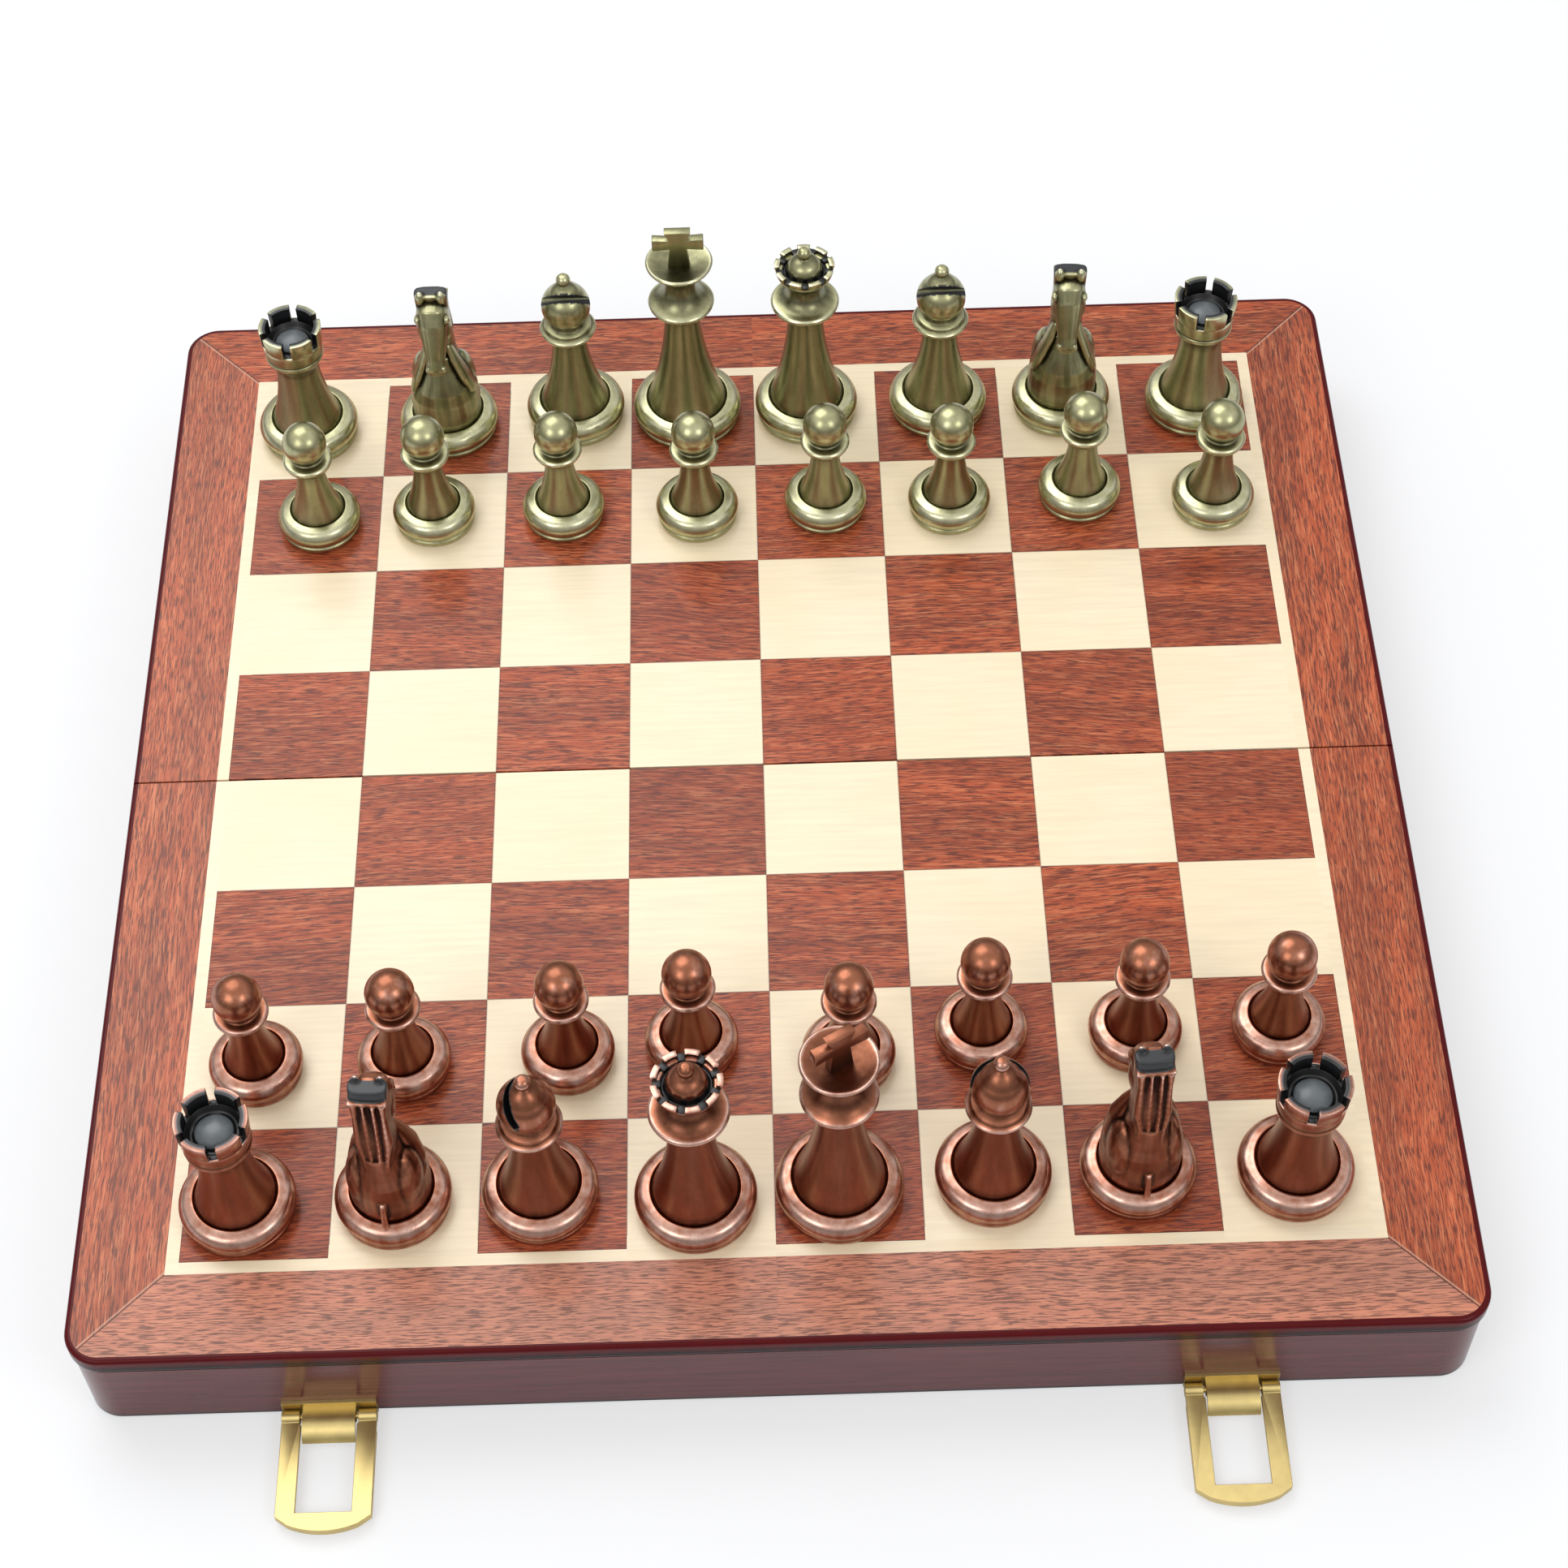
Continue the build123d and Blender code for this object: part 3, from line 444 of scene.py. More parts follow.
def make_antique(metal):
    """Antiqued metal: worn pale on the swells, dark in the recesses, black where it is painted."""
    men = bpy.context.scene.chess_men
    wear_and_highlight, bright, dark = (getattr(men, metal + end) for end in ("_worn", "", "_dark"))
    finish = Finish("antique_" + metal)
    recess = finish.attribute("recess")
    painted = finish.between(finish.attribute("blackened"), 0.1, 0.7)
    cloud = finish.noise(finish.place, 110.0, 3.0, 0.55)
    grit = finish.noise(finish.place, 900.0, 3.0, 0.6)
    rings = finish.drawn_out(40.0, 40.0, 2400.0)
    # Painted highlight: upright streaks, lighter and darker, standing in for streaky reflections on
    # the bodies.
    painted_streaks = finish.drawn_out(520.0, 520.0, 24.0)
    tone_and_painted_streaks = (cloud - 0.5) * 0.18 + (painted_streaks - 0.5) * 0.5
    stain = finish.between(recess + tone_and_painted_streaks, PALE_SWELL, 1.0)
    # The pale end of the ramp is wear and painted highlight on the swells; the dark end is patina in
    # the recesses.
    colour = finish.ramp(stain, (0.0, wear_and_highlight), (0.34, shade(bright, 1.25)), (0.48, shade(bright, 0.9)),
                         (0.66, shade(bright, 0.45)), (0.9, dark))
    colour = finish.mix(finish.between(grit, 0.55, 0.75) * 0.15, colour, dark)
    # Black paint, coloured grey as painted reflection where the painted surface swells, as on the
    # rook's disc and the edges of the knight's block.
    paint = finish.mix(finish.between(recess, 0.5, 0.2), srgb(12, 12, 14), srgb(106, 111, 114))
    colour = finish.mix(painted, colour, paint)
    finish.bump(rings, 0.08, 0.02 * MM)
    return finish.done(base_color=colour, metallic=1.0 - painted,
                       roughness=cloud * 0.1 + (recess * 0.08 + 0.25))


FINISH_MAKERS = {
    "rosewood_squares": make_rosewood_squares,
    "rosewood_border": make_rosewood_border,
    "maple": make_maple,
    "lacquer": make_lacquer,
    "wall": make_wall_veneer,
    "gilt": make_gilt,
    "foam": make_foam,
    "copper": lambda: make_antique("copper"),
    "bronze": lambda: make_antique("bronze"),
}
FINISHES = {}


def finish_for(name):
    """The material of a finish, made the first time it is asked for."""
    if name not in FINISHES:
        FINISHES[name] = FINISH_MAKERS[name]()
    return FINISHES[name]


def dress(mesh, name):
    """Give a mesh one finish."""
    mesh.materials.clear()
    mesh.materials.append(finish_for(name))


# Meshes


def object_from(name, data, finish=None, smooth_angle=None):
    """An object linked to the scene, with one finish on its mesh."""
    made = bpy.data.objects.new(name, data)
    bpy.context.scene.collection.objects.link(made)
    if finish is not None:
        dress(data, finish)
    if smooth_angle is not None:
        smooth(data, smooth_angle)
    return made


def smooth(mesh, degrees):
    """Smooth shading that breaks at edges sharper than the angle."""
    mesh.shade_smooth()
    mesh.set_sharp_from_angle(angle=math.radians(degrees))


def mesh_of(name, work):
    """The mesh of a finished bmesh, which is freed."""
    mesh = bpy.data.meshes.new(name)
    work.to_mesh(mesh)
    work.free()
    return mesh


def bridge(work, rings):
    """Faces between rings of vertices. A ring of one vertex closes the ring before it."""
    for one, two in zip(rings, rings[1:]):
        for step, corner in enumerate(one):
            after = (step + 1) % len(one)
            above = two if len(two) == 1 else [two[after], two[step]]
            work.faces.new((corner, one[after], *above))


def ease_edges(work, edges, width):
    bmesh.ops.bevel(work, geom=edges, offset=width * MM, segments=2, profile=0.5, affect="EDGES")


def settled(made):
    """The object with its modifiers applied, as a plain mesh."""
    graph = bpy.context.evaluated_depsgraph_get()
    mesh = bpy.data.meshes.new_from_object(made.evaluated_get(graph), depsgraph=graph)
    made.modifiers.clear()
    old = made.data
    made.data = mesh
    if old.users == 0:
        bpy.data.meshes.remove(old)
    return made


def settled_mesh(made, *others):
    """The mesh of an object with its modifiers applied. The object and the others are removed."""
    mesh = settled(made).data
    for used in (made, *others):
        bpy.data.objects.remove(used)
    return mesh


def merged_copy(node, flatten=False):
    """A copy of a CAD node's mesh with its loose triangles joined, and its flat faces whole."""
    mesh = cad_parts[node].data.copy()
    work = bmesh.new()
    work.from_mesh(mesh)
    bmesh.ops.remove_doubles(work, verts=work.verts, dist=0.004 * MM)
    if flatten:
        bmesh.ops.dissolve_limit(work, angle_limit=math.radians(1.0), verts=work.verts,
                                 edges=work.edges)
    work.to_mesh(mesh)
    work.free()
    return mesh


def eased(node, finish, width):
    """A copy of a CAD node with its sharp edges eased."""
    made = object_from(node + "_eased", merged_copy(node, flatten=True), finish, 42)
    bevel = made.modifiers.new("Ease", "BEVEL")
    bevel.width = width
    bevel.segments = 2
    bevel.limit_method = "ANGLE"
    bevel.angle_limit = math.radians(38)
    bevel.harden_normals = True
    return settled(made)


def melt(made, voxel):
    """Modifiers that draw one softened skin round the closed forms of an object."""
    skin = made.modifiers.new("Melt", "REMESH")
    skin.mode = "VOXEL"
    skin.voxel_size = voxel * MM
    skin.use_smooth_shade = True
    made.modifiers.new("Soften", "SMOOTH").iterations = 2


def stand_for(made, node, body):
    """The piece takes a CAD node's place and rides on its body."""
    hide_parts(node)
    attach(made, body)


# Turned men. A half section is a list of (radius, height) points in millimetres, sampled from
# lines and arcs, and a man is that section turned about Z.


class Section:
    """Half section of a turned man, drawn upwards from the outer edge of its foot."""

    def __init__(self, radius, height):
        self.points = [(radius, height)]

    def line(self, radius, height, steps=1):
        start = self.points[-1]
        for step in range(1, steps + 1):
            share = step / steps
            self.points.append((start[0] + (radius - start[0]) * share,
                                start[1] + (height - start[1]) * share))
        return self

    def arc(self, middle, end, steps=8):
        """A round stretch through a middle point."""
        start, middle, end = (complex(*point) for point in (self.points[-1], middle, end))
        ratio = (end - start) / (middle - start)
        centre = start + (middle - start) * (ratio - abs(ratio) ** 2) / (2j * ratio.imag)
        spoke = start - centre
        via, last = (cmath.phase((point - centre) / spoke) % math.tau for point in (middle, end))
        if via > last:
            last -= math.tau
        for step in range(1, steps + 1):
            point = centre + spoke * cmath.rect(1, last * step / steps)
            self.points.append((point.real, point.imag))
        return self

    def ball(self, centre, radius, steps):
        """A ball on top of the section, from where it stands to the axis."""
        neck = self.points[-1][0]
        low = centre - math.sqrt(radius ** 2 - neck ** 2)
        self.line(neck, low)
        first = math.atan2(low - centre, neck)
        for step in range(1, steps):
            angle = first + (math.pi / 2 - first) * step / steps
            self.points.append((radius * math.cos(angle), centre + radius * math.sin(angle)))
        self.points.append((0.0, centre + radius))
        return self

    def eased(self):
        """The same section with each sharp corner cut by a small round."""
        room = 0.16
        sharp = math.radians(24)
        result = [self.points[0]]
        for before, here, after in zip(self.points, self.points[1:], self.points[2:]):
            one = Vector(before) - Vector(here)
            two = Vector(after) - Vector(here)
            if min(one.length, two.length) < 1e-6:
                continue
            if math.pi - one.angle(two) < sharp or here[0] < 0.05:
                result.append(here)
                continue
            first, second = (Vector(here) + side.normalized() * min(room, side.length * 0.4)
                             for side in (one, two))
            bulge = (first + second) / 2 * 0.5 + Vector(here) * 0.5
            result += [tuple(first), tuple(bulge), tuple(second)]
        result.append(self.points[-1])
        return result


def foot_section(radius):
    """Foot common to the men: ring, groove, round lip, broad top and the groove inside it."""
    ring = radius - 0.5
    body = radius - FOOT_LEDGE
    section = Section(ring - 0.6, 0.0).line(ring, 0.35).line(ring, 1.3).line(ring - 0.6, 1.7)
    section.line(ring, 2.1).arc((radius, 3.7), (radius - 0.6, 5.2), 7)
    section.arc((radius - 1.1, 5.9), (radius - 2.0, 6.4), 4)
    section.line(body + 0.5, FOOT_HEIGHT, 3).line(body + 0.1, FOOT_HEIGHT - 0.6, 2)
    return section.line(body, FOOT_HEIGHT, 2)


def body_section(foot_radius, neck_radius, neck_height, hollow):
    """Foot and concave body up to the neck."""
    radius = foot_radius - FOOT_LEDGE
    middle = ((radius + neck_radius) / 2 - hollow, (FOOT_HEIGHT + neck_height) / 2)
    return foot_section(foot_radius).arc(middle, (neck_radius, neck_height), 14)


def recess_of(points, reach):
    """How deep each point of a section lies under the swells within reach, in millimetres."""
    places = [0.0]
    for one, two in zip(points, points[1:]):
        places.append(places[-1] + math.dist(one, two))
    axes = list(zip(*points))
    depths = []
    for place, point in zip(places, points):
        left, right = (Vector([np.interp(place + aside, places, axis) for axis in axes])
                       for aside in (-reach, reach))
        chord = right - left
        if chord.length < 1e-6:
            depths.append(0.0)
            continue
        outward = Vector((chord.y, -chord.x)).normalized()
        depths.append(((left + right) / 2 - Vector(point)).dot(outward))
    return depths


def turned_mesh(name, points, recesses, blackened, facets):
    """A closed mesh of a section turned about Z, with its recess and blackening stored on it."""
    work = bmesh.new()
    recess_layer = work.verts.layers.float.new("recess")
    black_layer = work.verts.layers.float.new("blackened")
    low = work.verts.new((0, 0, points[0][1] * MM))
    turns = [(math.cos(math.tau * step / facets), math.sin(math.tau * step / facets))
             for step in range(facets)]
    rings = []
    for (radius, height), depth, black in zip(points, recesses, blackened):
        at_axis = radius < 1e-4
        ring = [work.verts.new((radius * x * MM, radius * y * MM, height * MM))
                for x, y in ([(0, 0)] if at_axis else turns)]
        for vertex in ring:
            vertex[recess_layer] = depth
            vertex[black_layer] = black
        rings.append(ring)
    for step in range(facets):
        work.faces.new((low, rings[0][(step + 1) % facets], rings[0][step]))
    bridge(work, rings)
    return mesh_of(name, work)


def turned_man(name, section, black_from=None):
    """Mesh of a turned man. The rule black_from says how black each point is painted."""
    points = section.eased()
    painted_highlight_low, painted_highlight_high = 5.0, 6.7
    painted_light_top = 14.0
    shaded_top_low, shaded_top_radius = 52.9, 7.6
    recesses = []
    for point, broad, fine in zip(points, recess_of(points, 3.2), recess_of(points, 1.0)):
        radius, height = point
        # Dark patina in the recesses; swells stored pale, from wear and painted highlight.
        value = 0.1 + 0.12 * broad + (1.8 if fine > 0 else 0.5) * fine
        # Painted highlight: the broad top of the foot is stored paler.
        if painted_highlight_low < height < painted_highlight_high and fine < 0.1:
            value -= 0.22
        # Painted light: the body is stored lighter low down, most at the foot.
        if painted_highlight_high <= height < painted_light_top:
            value -= 0.14 * (painted_light_top - height) / (painted_light_top - painted_highlight_high)
        # Painted shade: darker in the king's dish, above 52.9 mm and within 7.6 mm of the axis, which
        # also takes in the top of the queen.
        if height > shaded_top_low and radius < shaded_top_radius:
            value += 0.15
        recesses.append(min(0.45 * DEEP, max(0.6 * PALE_SWELL, value)))
    blackened = [black_from(*point) if black_from else 0.0 for point in points]
    recesses = [DEEP if black > 0.87 else depth for depth, black in zip(recesses, blackened)]
    return turned_mesh(name, points, recesses, blackened, bpy.context.scene.chess_men.facets)


def box_mesh(name, low, high):
    """A box between two corners in millimetres."""
    work = bmesh.new()
    bmesh.ops.create_cube(work, size=1.0)
    for vertex in work.verts:
        vertex.co = Vector(((low[i] + high[i]) / 2 + vertex.co[i] * (high[i] - low[i])) * MM
                           for i in range(3))
    return mesh_of(name, work)


def mark(mesh, recess, blackened):
    """Store how recessed and how black each vertex is, from a value for each or one for all."""
    for name, values in (("recess", recess), ("blackened", blackened)):
        layer = mesh.attributes.get(name) or mesh.attributes.new(name, "FLOAT", "POINT")
        every = np.broadcast_to(values, len(mesh.vertices))
        layer.data.foreach_set("value", every.astype(np.float32))
    return mesh


def joined(name, *meshes):
    """One mesh of several, with their stored values."""
    work = bmesh.new()
    for mesh in meshes:
        work.from_mesh(mesh)
    return mesh_of(name, work)


def carved(mesh, cutter_mesh):
    """The mesh with a closed cutter taken out of it."""
    target = object_from("carving_target", mesh)
    cutter = object_from("carving_cutter", cutter_mesh)
    cut = target.modifiers.new("Carve", "BOOLEAN")
    cut.operation = "DIFFERENCE"
    cut.solver = "EXACT"
    cut.object = cutter
    return settled_mesh(target, cutter)


# What repeats round an axis, as Geometry Nodes


def ring_tree():
    """Node tree: copies of a piece at equal steps round the Z axis."""
    tree = bpy.data.node_groups.new(RING_TREE, "GeometryNodeTree")
    tree.interface.new_socket("Geometry", in_out="OUTPUT", socket_type="NodeSocketGeometry")
    for name, kind in (("Piece", "Object"), ("Count", "Int"), ("First turn", "Float"),
                       ("Finish", "Material")):
        tree.interface.new_socket(name, in_out="INPUT", socket_type="NodeSocket" + kind)
    net = Net(tree)
    piece, count, first_turn, finish, _ = net.every(net.node("NodeGroupInput", 0))
    index = net.node("GeometryNodeInputIndex", 0)
    angle = net.math("MULTIPLY_ADD", index, math.tau / count, first_turn)
    copies = net.node("GeometryNodeInstanceOnPoints", "Instances", {
        "Points": net.node("GeometryNodePoints", "Points", {"Count": count}),
        "Instance": net.node("GeometryNodeObjectInfo", "Geometry", {"Object": piece}),
        "Rotation": net.join(0.0, 0.0, angle)})
    real = net.node("GeometryNodeRealizeInstances", "Geometry", {"Geometry": copies})
    dressed = net.node("GeometryNodeSetMaterial", "Geometry",
                       {"Geometry": real, "Material": finish})
    net.node("NodeGroupOutput", None, {"Geometry": dressed})
    return tree


def around(name, piece_mesh, count, first_turn, finish):
    """Copies of a mesh round the Z axis, as one mesh."""
    piece = object_from(name + "_piece", piece_mesh)
    made = object_from(name, bpy.data.meshes.new(name + "_base"))
    modifier = made.modifiers.new("Copies", "NODES")
    modifier.node_group = bpy.data.node_groups.get(RING_TREE) or ring_tree()
    values = {"Piece": piece, "Count": count, "First turn": first_turn,
              "Finish": finish_for(finish)}
    for item in modifier.node_group.interface.items_tree:
        if item.in_out == "INPUT":
            modifier[item.identifier] = values[item.name]
    made.update_tag()
    return settled_mesh(made, piece)


# The men. Each maker takes the finish of its copied forms.


def pawn_mesh(metal):
    section = body_section(PAWN_FOOT, 3.4, 21.2, 0.7)
    section.arc((5.2, 22.6), (6.0, 24.0), 6).line(6.1, 24.5).line(5.6, 25.0).line(4.0, 25.2, 2)
    section.line(3.6, 25.5).ball(30.2, 5.4, 18)
    return turned_man("pawn", section)


def bishop_mesh(metal):
    section = body_section(OFFICER_FOOT, 4.1, 29.2, 0.9)
    section.arc((6.0, 30.0), (6.9, 31.2), 6).line(7.1, 31.8).line(6.6, 32.2).line(6.0, 32.5)
    section.line(5.8, 33.3).line(4.5, 33.8).line(4.2, 34.7)
    section.arc((6.15, 39.0), (4.1, 43.7), 16).arc((2.8, 45.3), (1.1, 46.5), 6)
    section.line(1.15, 47.0).arc((1.8, 47.9), (1.35, 49.0), 5).line(0.9, 49.4).line(0.0, 49.5)
    slot_half = 0.85
    slot_slope = math.radians(-52)
    slot_foot = Vector((0, 0, 40.4 * MM))
    cutter = box_mesh("slot", (-9, -11.2, -slot_half), (9, 0.8, slot_half))
    cutter.transform(Matrix.Translation(slot_foot) @ Matrix.Rotation(slot_slope, 4, "X"))
    mesh = carved(turned_man("bishop", section), cutter)
    across = Matrix.Rotation(slot_slope, 3, "X") @ Vector((0, 0, 1))
    band = slot_half + 0.12
    black = []
    recess = []
    for vertex, item in zip(mesh.vertices, mesh.attributes["recess"].data):
        aside = (vertex.co - slot_foot).dot(across) / MM
        in_slot = abs(aside) < band and vertex.co.z > 35.5 * MM and vertex.co.y < 0.9 * MM
        black.append(1.0 if in_slot else 0.0)
        recess.append(DEEP if in_slot else item.value)
    return mark(mesh, recess, black)


def sector_mesh(name, inner, outer, low, high, half_angle, steps, flare=0.0):
    """A block between two radii, two heights and two angles, with eased edges."""
    work = bmesh.new()
    rows = []
    for step in range(steps + 1):
        angle = -half_angle + 2 * half_angle * step / steps
        rows.append([
            work.verts.new((radius * math.cos(angle) * MM, radius * math.sin(angle) * MM,
                            height * MM))
            for radius, height in ((inner, low), (outer - flare, low), (outer, high), (inner, high))])
    for one, two in zip(rows, rows[1:]):
        for corner in range(4):
            after = (corner + 1) % 4
            work.faces.new((one[corner], two[corner], two[after], one[after]))
    work.faces.new(rows[0])
    work.faces.new(list(reversed(rows[-1])))
    bmesh.ops.recalc_face_normals(work, faces=work.faces)
    sharp = [edge for edge in work.edges
             if len(edge.link_faces) == 2 and edge.calc_face_angle() > math.radians(40)]
    ease_edges(work, sharp, 0.16)
    return mesh_of(name, work)


def paint_crown(mesh):
    """Paint the inside of the rook's crown and its slots black, and wear the top of its wall."""
    recess = []
    black = []
    widest = max(abs(math.atan2(vertex.co.y, vertex.co.x)) for vertex in mesh.vertices)
    for vertex in mesh.vertices:
        inside = math.hypot(vertex.co.x, vertex.co.y) < 6.2 * MM
        at_slot = abs(math.atan2(vertex.co.y, vertex.co.x)) > widest - 0.006
        on_top = vertex.co.z > 37.9 * MM
        painted = inside or at_slot
        # The top of the wall is stored pale: wear and painted highlight.
        recess.append(DEEP if painted else -0.3 if on_top else 0.1)
        black.append(1.0 if painted else 0.0)
    return mark(mesh, recess, black)


def rook_black(radius, height):
    """Black well inside the rook's crown, round a grey painted disc."""
    if radius > 6.05 or height < 31.9:
        return 0.0
    return 0.85 if radius < 4.1 else 1.0


def queen_black(radius, height):
    """Black groove inside the queen's crown."""
    return 0.9 if 4.4 < radius < 5.4 and height > 49.0 else 0.0


def rook_mesh(metal):
    section = body_section(OFFICER_FOOT, 5.3, 25.4, 0.8)
    section.arc((6.0, 27.4), (7.2, 28.6), 6).line(7.3, 29.5).line(6.9, 29.9).line(7.2, 30.3)
    section.line(7.5, 33.9, 3).line(6.0, 33.95, 2).line(5.4, 32.8).line(5.0, 32.4)
    section.line(4.4, 32.5).line(4.2, 33.0).line(4.0, 33.3).arc((2.2, 34.25), (0.0, 34.6), 8)
    body = turned_man("rook", section, rook_black)
    merlon_count = 6
    slot_half = math.asin(0.92 / 7.0)
    merlon_half = math.pi / merlon_count - slot_half
    merlon = sector_mesh("merlon", 6.0, 7.8, 33.6, 38.2, merlon_half, 8, 0.3)
    merlons = around("merlons", paint_crown(merlon), merlon_count, math.radians(45), metal)
    slot_floor = sector_mesh("slot_floor", 6.05, 7.2, 33.5, 34.02, slot_half, 2)
    floors = around("slot_floors", mark(slot_floor, DEEP, 1.0), merlon_count, math.radians(15),
                    metal)
    return joined("rook", body, merlons, floors)


def queen_mesh(metal):
    section = body_section(QUEEN_FOOT, 4.3, 35.8, 1.0)
    section.arc((7.0, 37.2), (8.4, 38.8), 7).line(8.6, 39.5).line(8.1, 40.0)
    section.arc((3.8, 43.9), (6.5, 48.4), 12).line(6.9, 49.4).line(6.6, 49.9)
    section.line(5.6, 49.8, 2).line(5.1, 49.2).line(4.7, 49.3).line(4.45, 50.0)
    section.arc((3.6, 52.5), (1.5, 53.9), 9).line(1.2, 54.3)
    section.arc((1.75, 55.3), (1.3, 56.4), 5).line(0.9, 56.85).line(0.0, 56.9)
    body = turned_man("queen", section, queen_black)
    web_count = 9
    pitch = math.tau / web_count
    notch = sector_mesh("notch", 5.2, 7.15, 49.0, 50.4, math.radians(8), 2, 0.4)
    notches = around("notches", mark(notch, DEEP, 1.0), web_count, pitch / 2, metal)
    web = sector_mesh("web", 6.1, 7.55, 49.2, 51.3, math.radians(13.2), 4, 0.6)
    # The tops of the webs are stored pale: wear and painted highlight.
    recess = [-0.3 if vertex.co.z > 51.0 * MM else 0.1 for vertex in web.vertices]
    webs = around("webs", mark(web, recess, 0.0), web_count, pitch, metal)
    return joined("queen", body, notches, webs)


def king_mesh(metal):
    section = body_section(KING_FOOT, 4.3, 37.0, 1.1)
    section.arc((6.8, 38.6), (8.1, 40.2), 7).line(8.3, 40.9).line(7.8, 41.4)
    section.arc((3.8, 46.6), (7.9, 53.0), 14).line(8.4, 53.9).line(7.9, 54.4)
    section.arc((4.2, 53.35), (0.0, 53.0), 10)
    return joined("king", turned_man("king", section), cross_mesh())


def cross_mesh():
    """Low stout cross standing in the dish, its arms flared and its edges eased."""
    thickness = 2.4
    middle = 60.3
    right = [(3.3, 3.9), (2.1, 1.3), (6.3, 1.7), (6.3, -1.7), (2.1, -1.3), (2.7, -7.6)]
    outline = right + [(-x, z) for x, z in reversed(right)]
    work = bmesh.new()
    face = work.faces.new([
        work.verts.new((x * MM, -thickness / 2 * MM, (middle + z) * MM)) for x, z in outline])
    made = bmesh.ops.extrude_face_region(work, geom=[face])
    moved = [item for item in made["geom"] if isinstance(item, bmesh.types.BMVert)]
    bmesh.ops.translate(work, verts=moved, vec=(0, thickness * MM, 0))
    bmesh.ops.recalc_face_normals(work, faces=work.faces)
    ease_edges(work, list(work.edges), 0.22)
    mesh = mesh_of("cross", work)
    # Painted shade: the foot of the cross, down in the dish, is stored darker.
    low = (middle - 2.0) * MM
    return mark(mesh, [0.75 if vertex.co.z < low else 0.15 for vertex in mesh.vertices], 0.0)


# The knight is laid up from rings of points round a spine and some smaller forms, then melted
# into one skin.


def tube_between(rings, squareness=1.0, sides=28):
    """A closed mesh through rings of (x, y, z, half width, half depth), some with a lean too."""
    work = bmesh.new()
    loops = []
    for x, y, z, half_width, half_depth, *lean in rings:
        tilt = math.radians(lean[0]) if lean else 0.0
        loop = []
        for side in range(sides):
            angle = math.tau * side / sides
            across = math.copysign(half_width * abs(math.cos(angle)) ** squareness, math.cos(angle))
            along = math.copysign(half_depth * abs(math.sin(angle)) ** squareness, math.sin(angle))
            loop.append(work.verts.new(((x + across) * MM, (y + along * math.cos(tilt)) * MM,
                                        (z + along * math.sin(tilt)) * MM)))
        loops.append(loop)
    bridge(work, loops)
    work.faces.new(list(reversed(loops[0])))
    work.faces.new(loops[-1])
    bmesh.ops.recalc_face_normals(work, faces=work.faces)
    return mesh_of("tube", work)


def pebble(centre, radii, lean=0.0):
    """A stretched ball at a place, in millimetres."""
    work = bmesh.new()
    bmesh.ops.create_icosphere(work, subdivisions=3, radius=1.0)
    grow = Matrix.Diagonal((radii[0] * MM, radii[1] * MM, radii[2] * MM, 1.0))
    place = Matrix.Translation(Vector(centre) * MM) @ Matrix.Rotation(math.radians(lean), 4, "X")
    bmesh.ops.transform(work, matrix=place @ grow, verts=work.verts)
    return mesh_of("pebble", work)


def relaxed(points, edges, rounds):
    """Points moved halfway to the mean of their neighbours, some rounds over."""
    count = np.zeros(len(points))
    np.add.at(count, edges[:, 0], 1)
    np.add.at(count, edges[:, 1], 1)
    for _ in range(rounds):
        total = np.zeros_like(points)
        np.add.at(total, edges[:, 0], points[edges[:, 1]])
        np.add.at(total, edges[:, 1], points[edges[:, 0]])
        points = 0.5 * points + 0.5 * total / count[:, None]
    return points


def read(items, field, width, kind=float):
    """One field of a mesh's vertices or edges, a row each."""
    values = np.zeros(len(items) * width, dtype=kind)
    items.foreach_get(field, values)
    return values.reshape(-1, width)


def store_hollows(mesh, black_rule):
    """Store how far each point lies under its relaxed surroundings, and the blackening."""
    base, gain, rounds, painted_least = 0.26, 5.5, 22, 0.47
    points = read(mesh.vertices, "co", 3)
    calm = relaxed(points, read(mesh.edges, "vertices", 2, int), rounds)
    depth = np.einsum("ij,ij->i", calm - points, read(mesh.vertices, "normal", 3)) / MM
    recess = np.clip(base + gain * np.where(depth > 0, depth, 0.5 * depth), PALE_SWELL, 1.0)
    black = np.array([black_rule(*(point / MM)) for point in points])
    mark(mesh, np.where(black > 0.5, np.maximum(recess, painted_least), recess), black)


def knight_black(x, y, z):
    """Black paint on the block at the top of the knight's head."""
    return 1.0 if y >= -1.5 and z > 46.35 else 0.0


def neck_back(height):
    """How far back the knight's neck reaches at a height."""
    share = min(1.0, max(0.0, (height - 9.0) / 39.0))
    return 8.7 - 6.0 * share ** 0.9


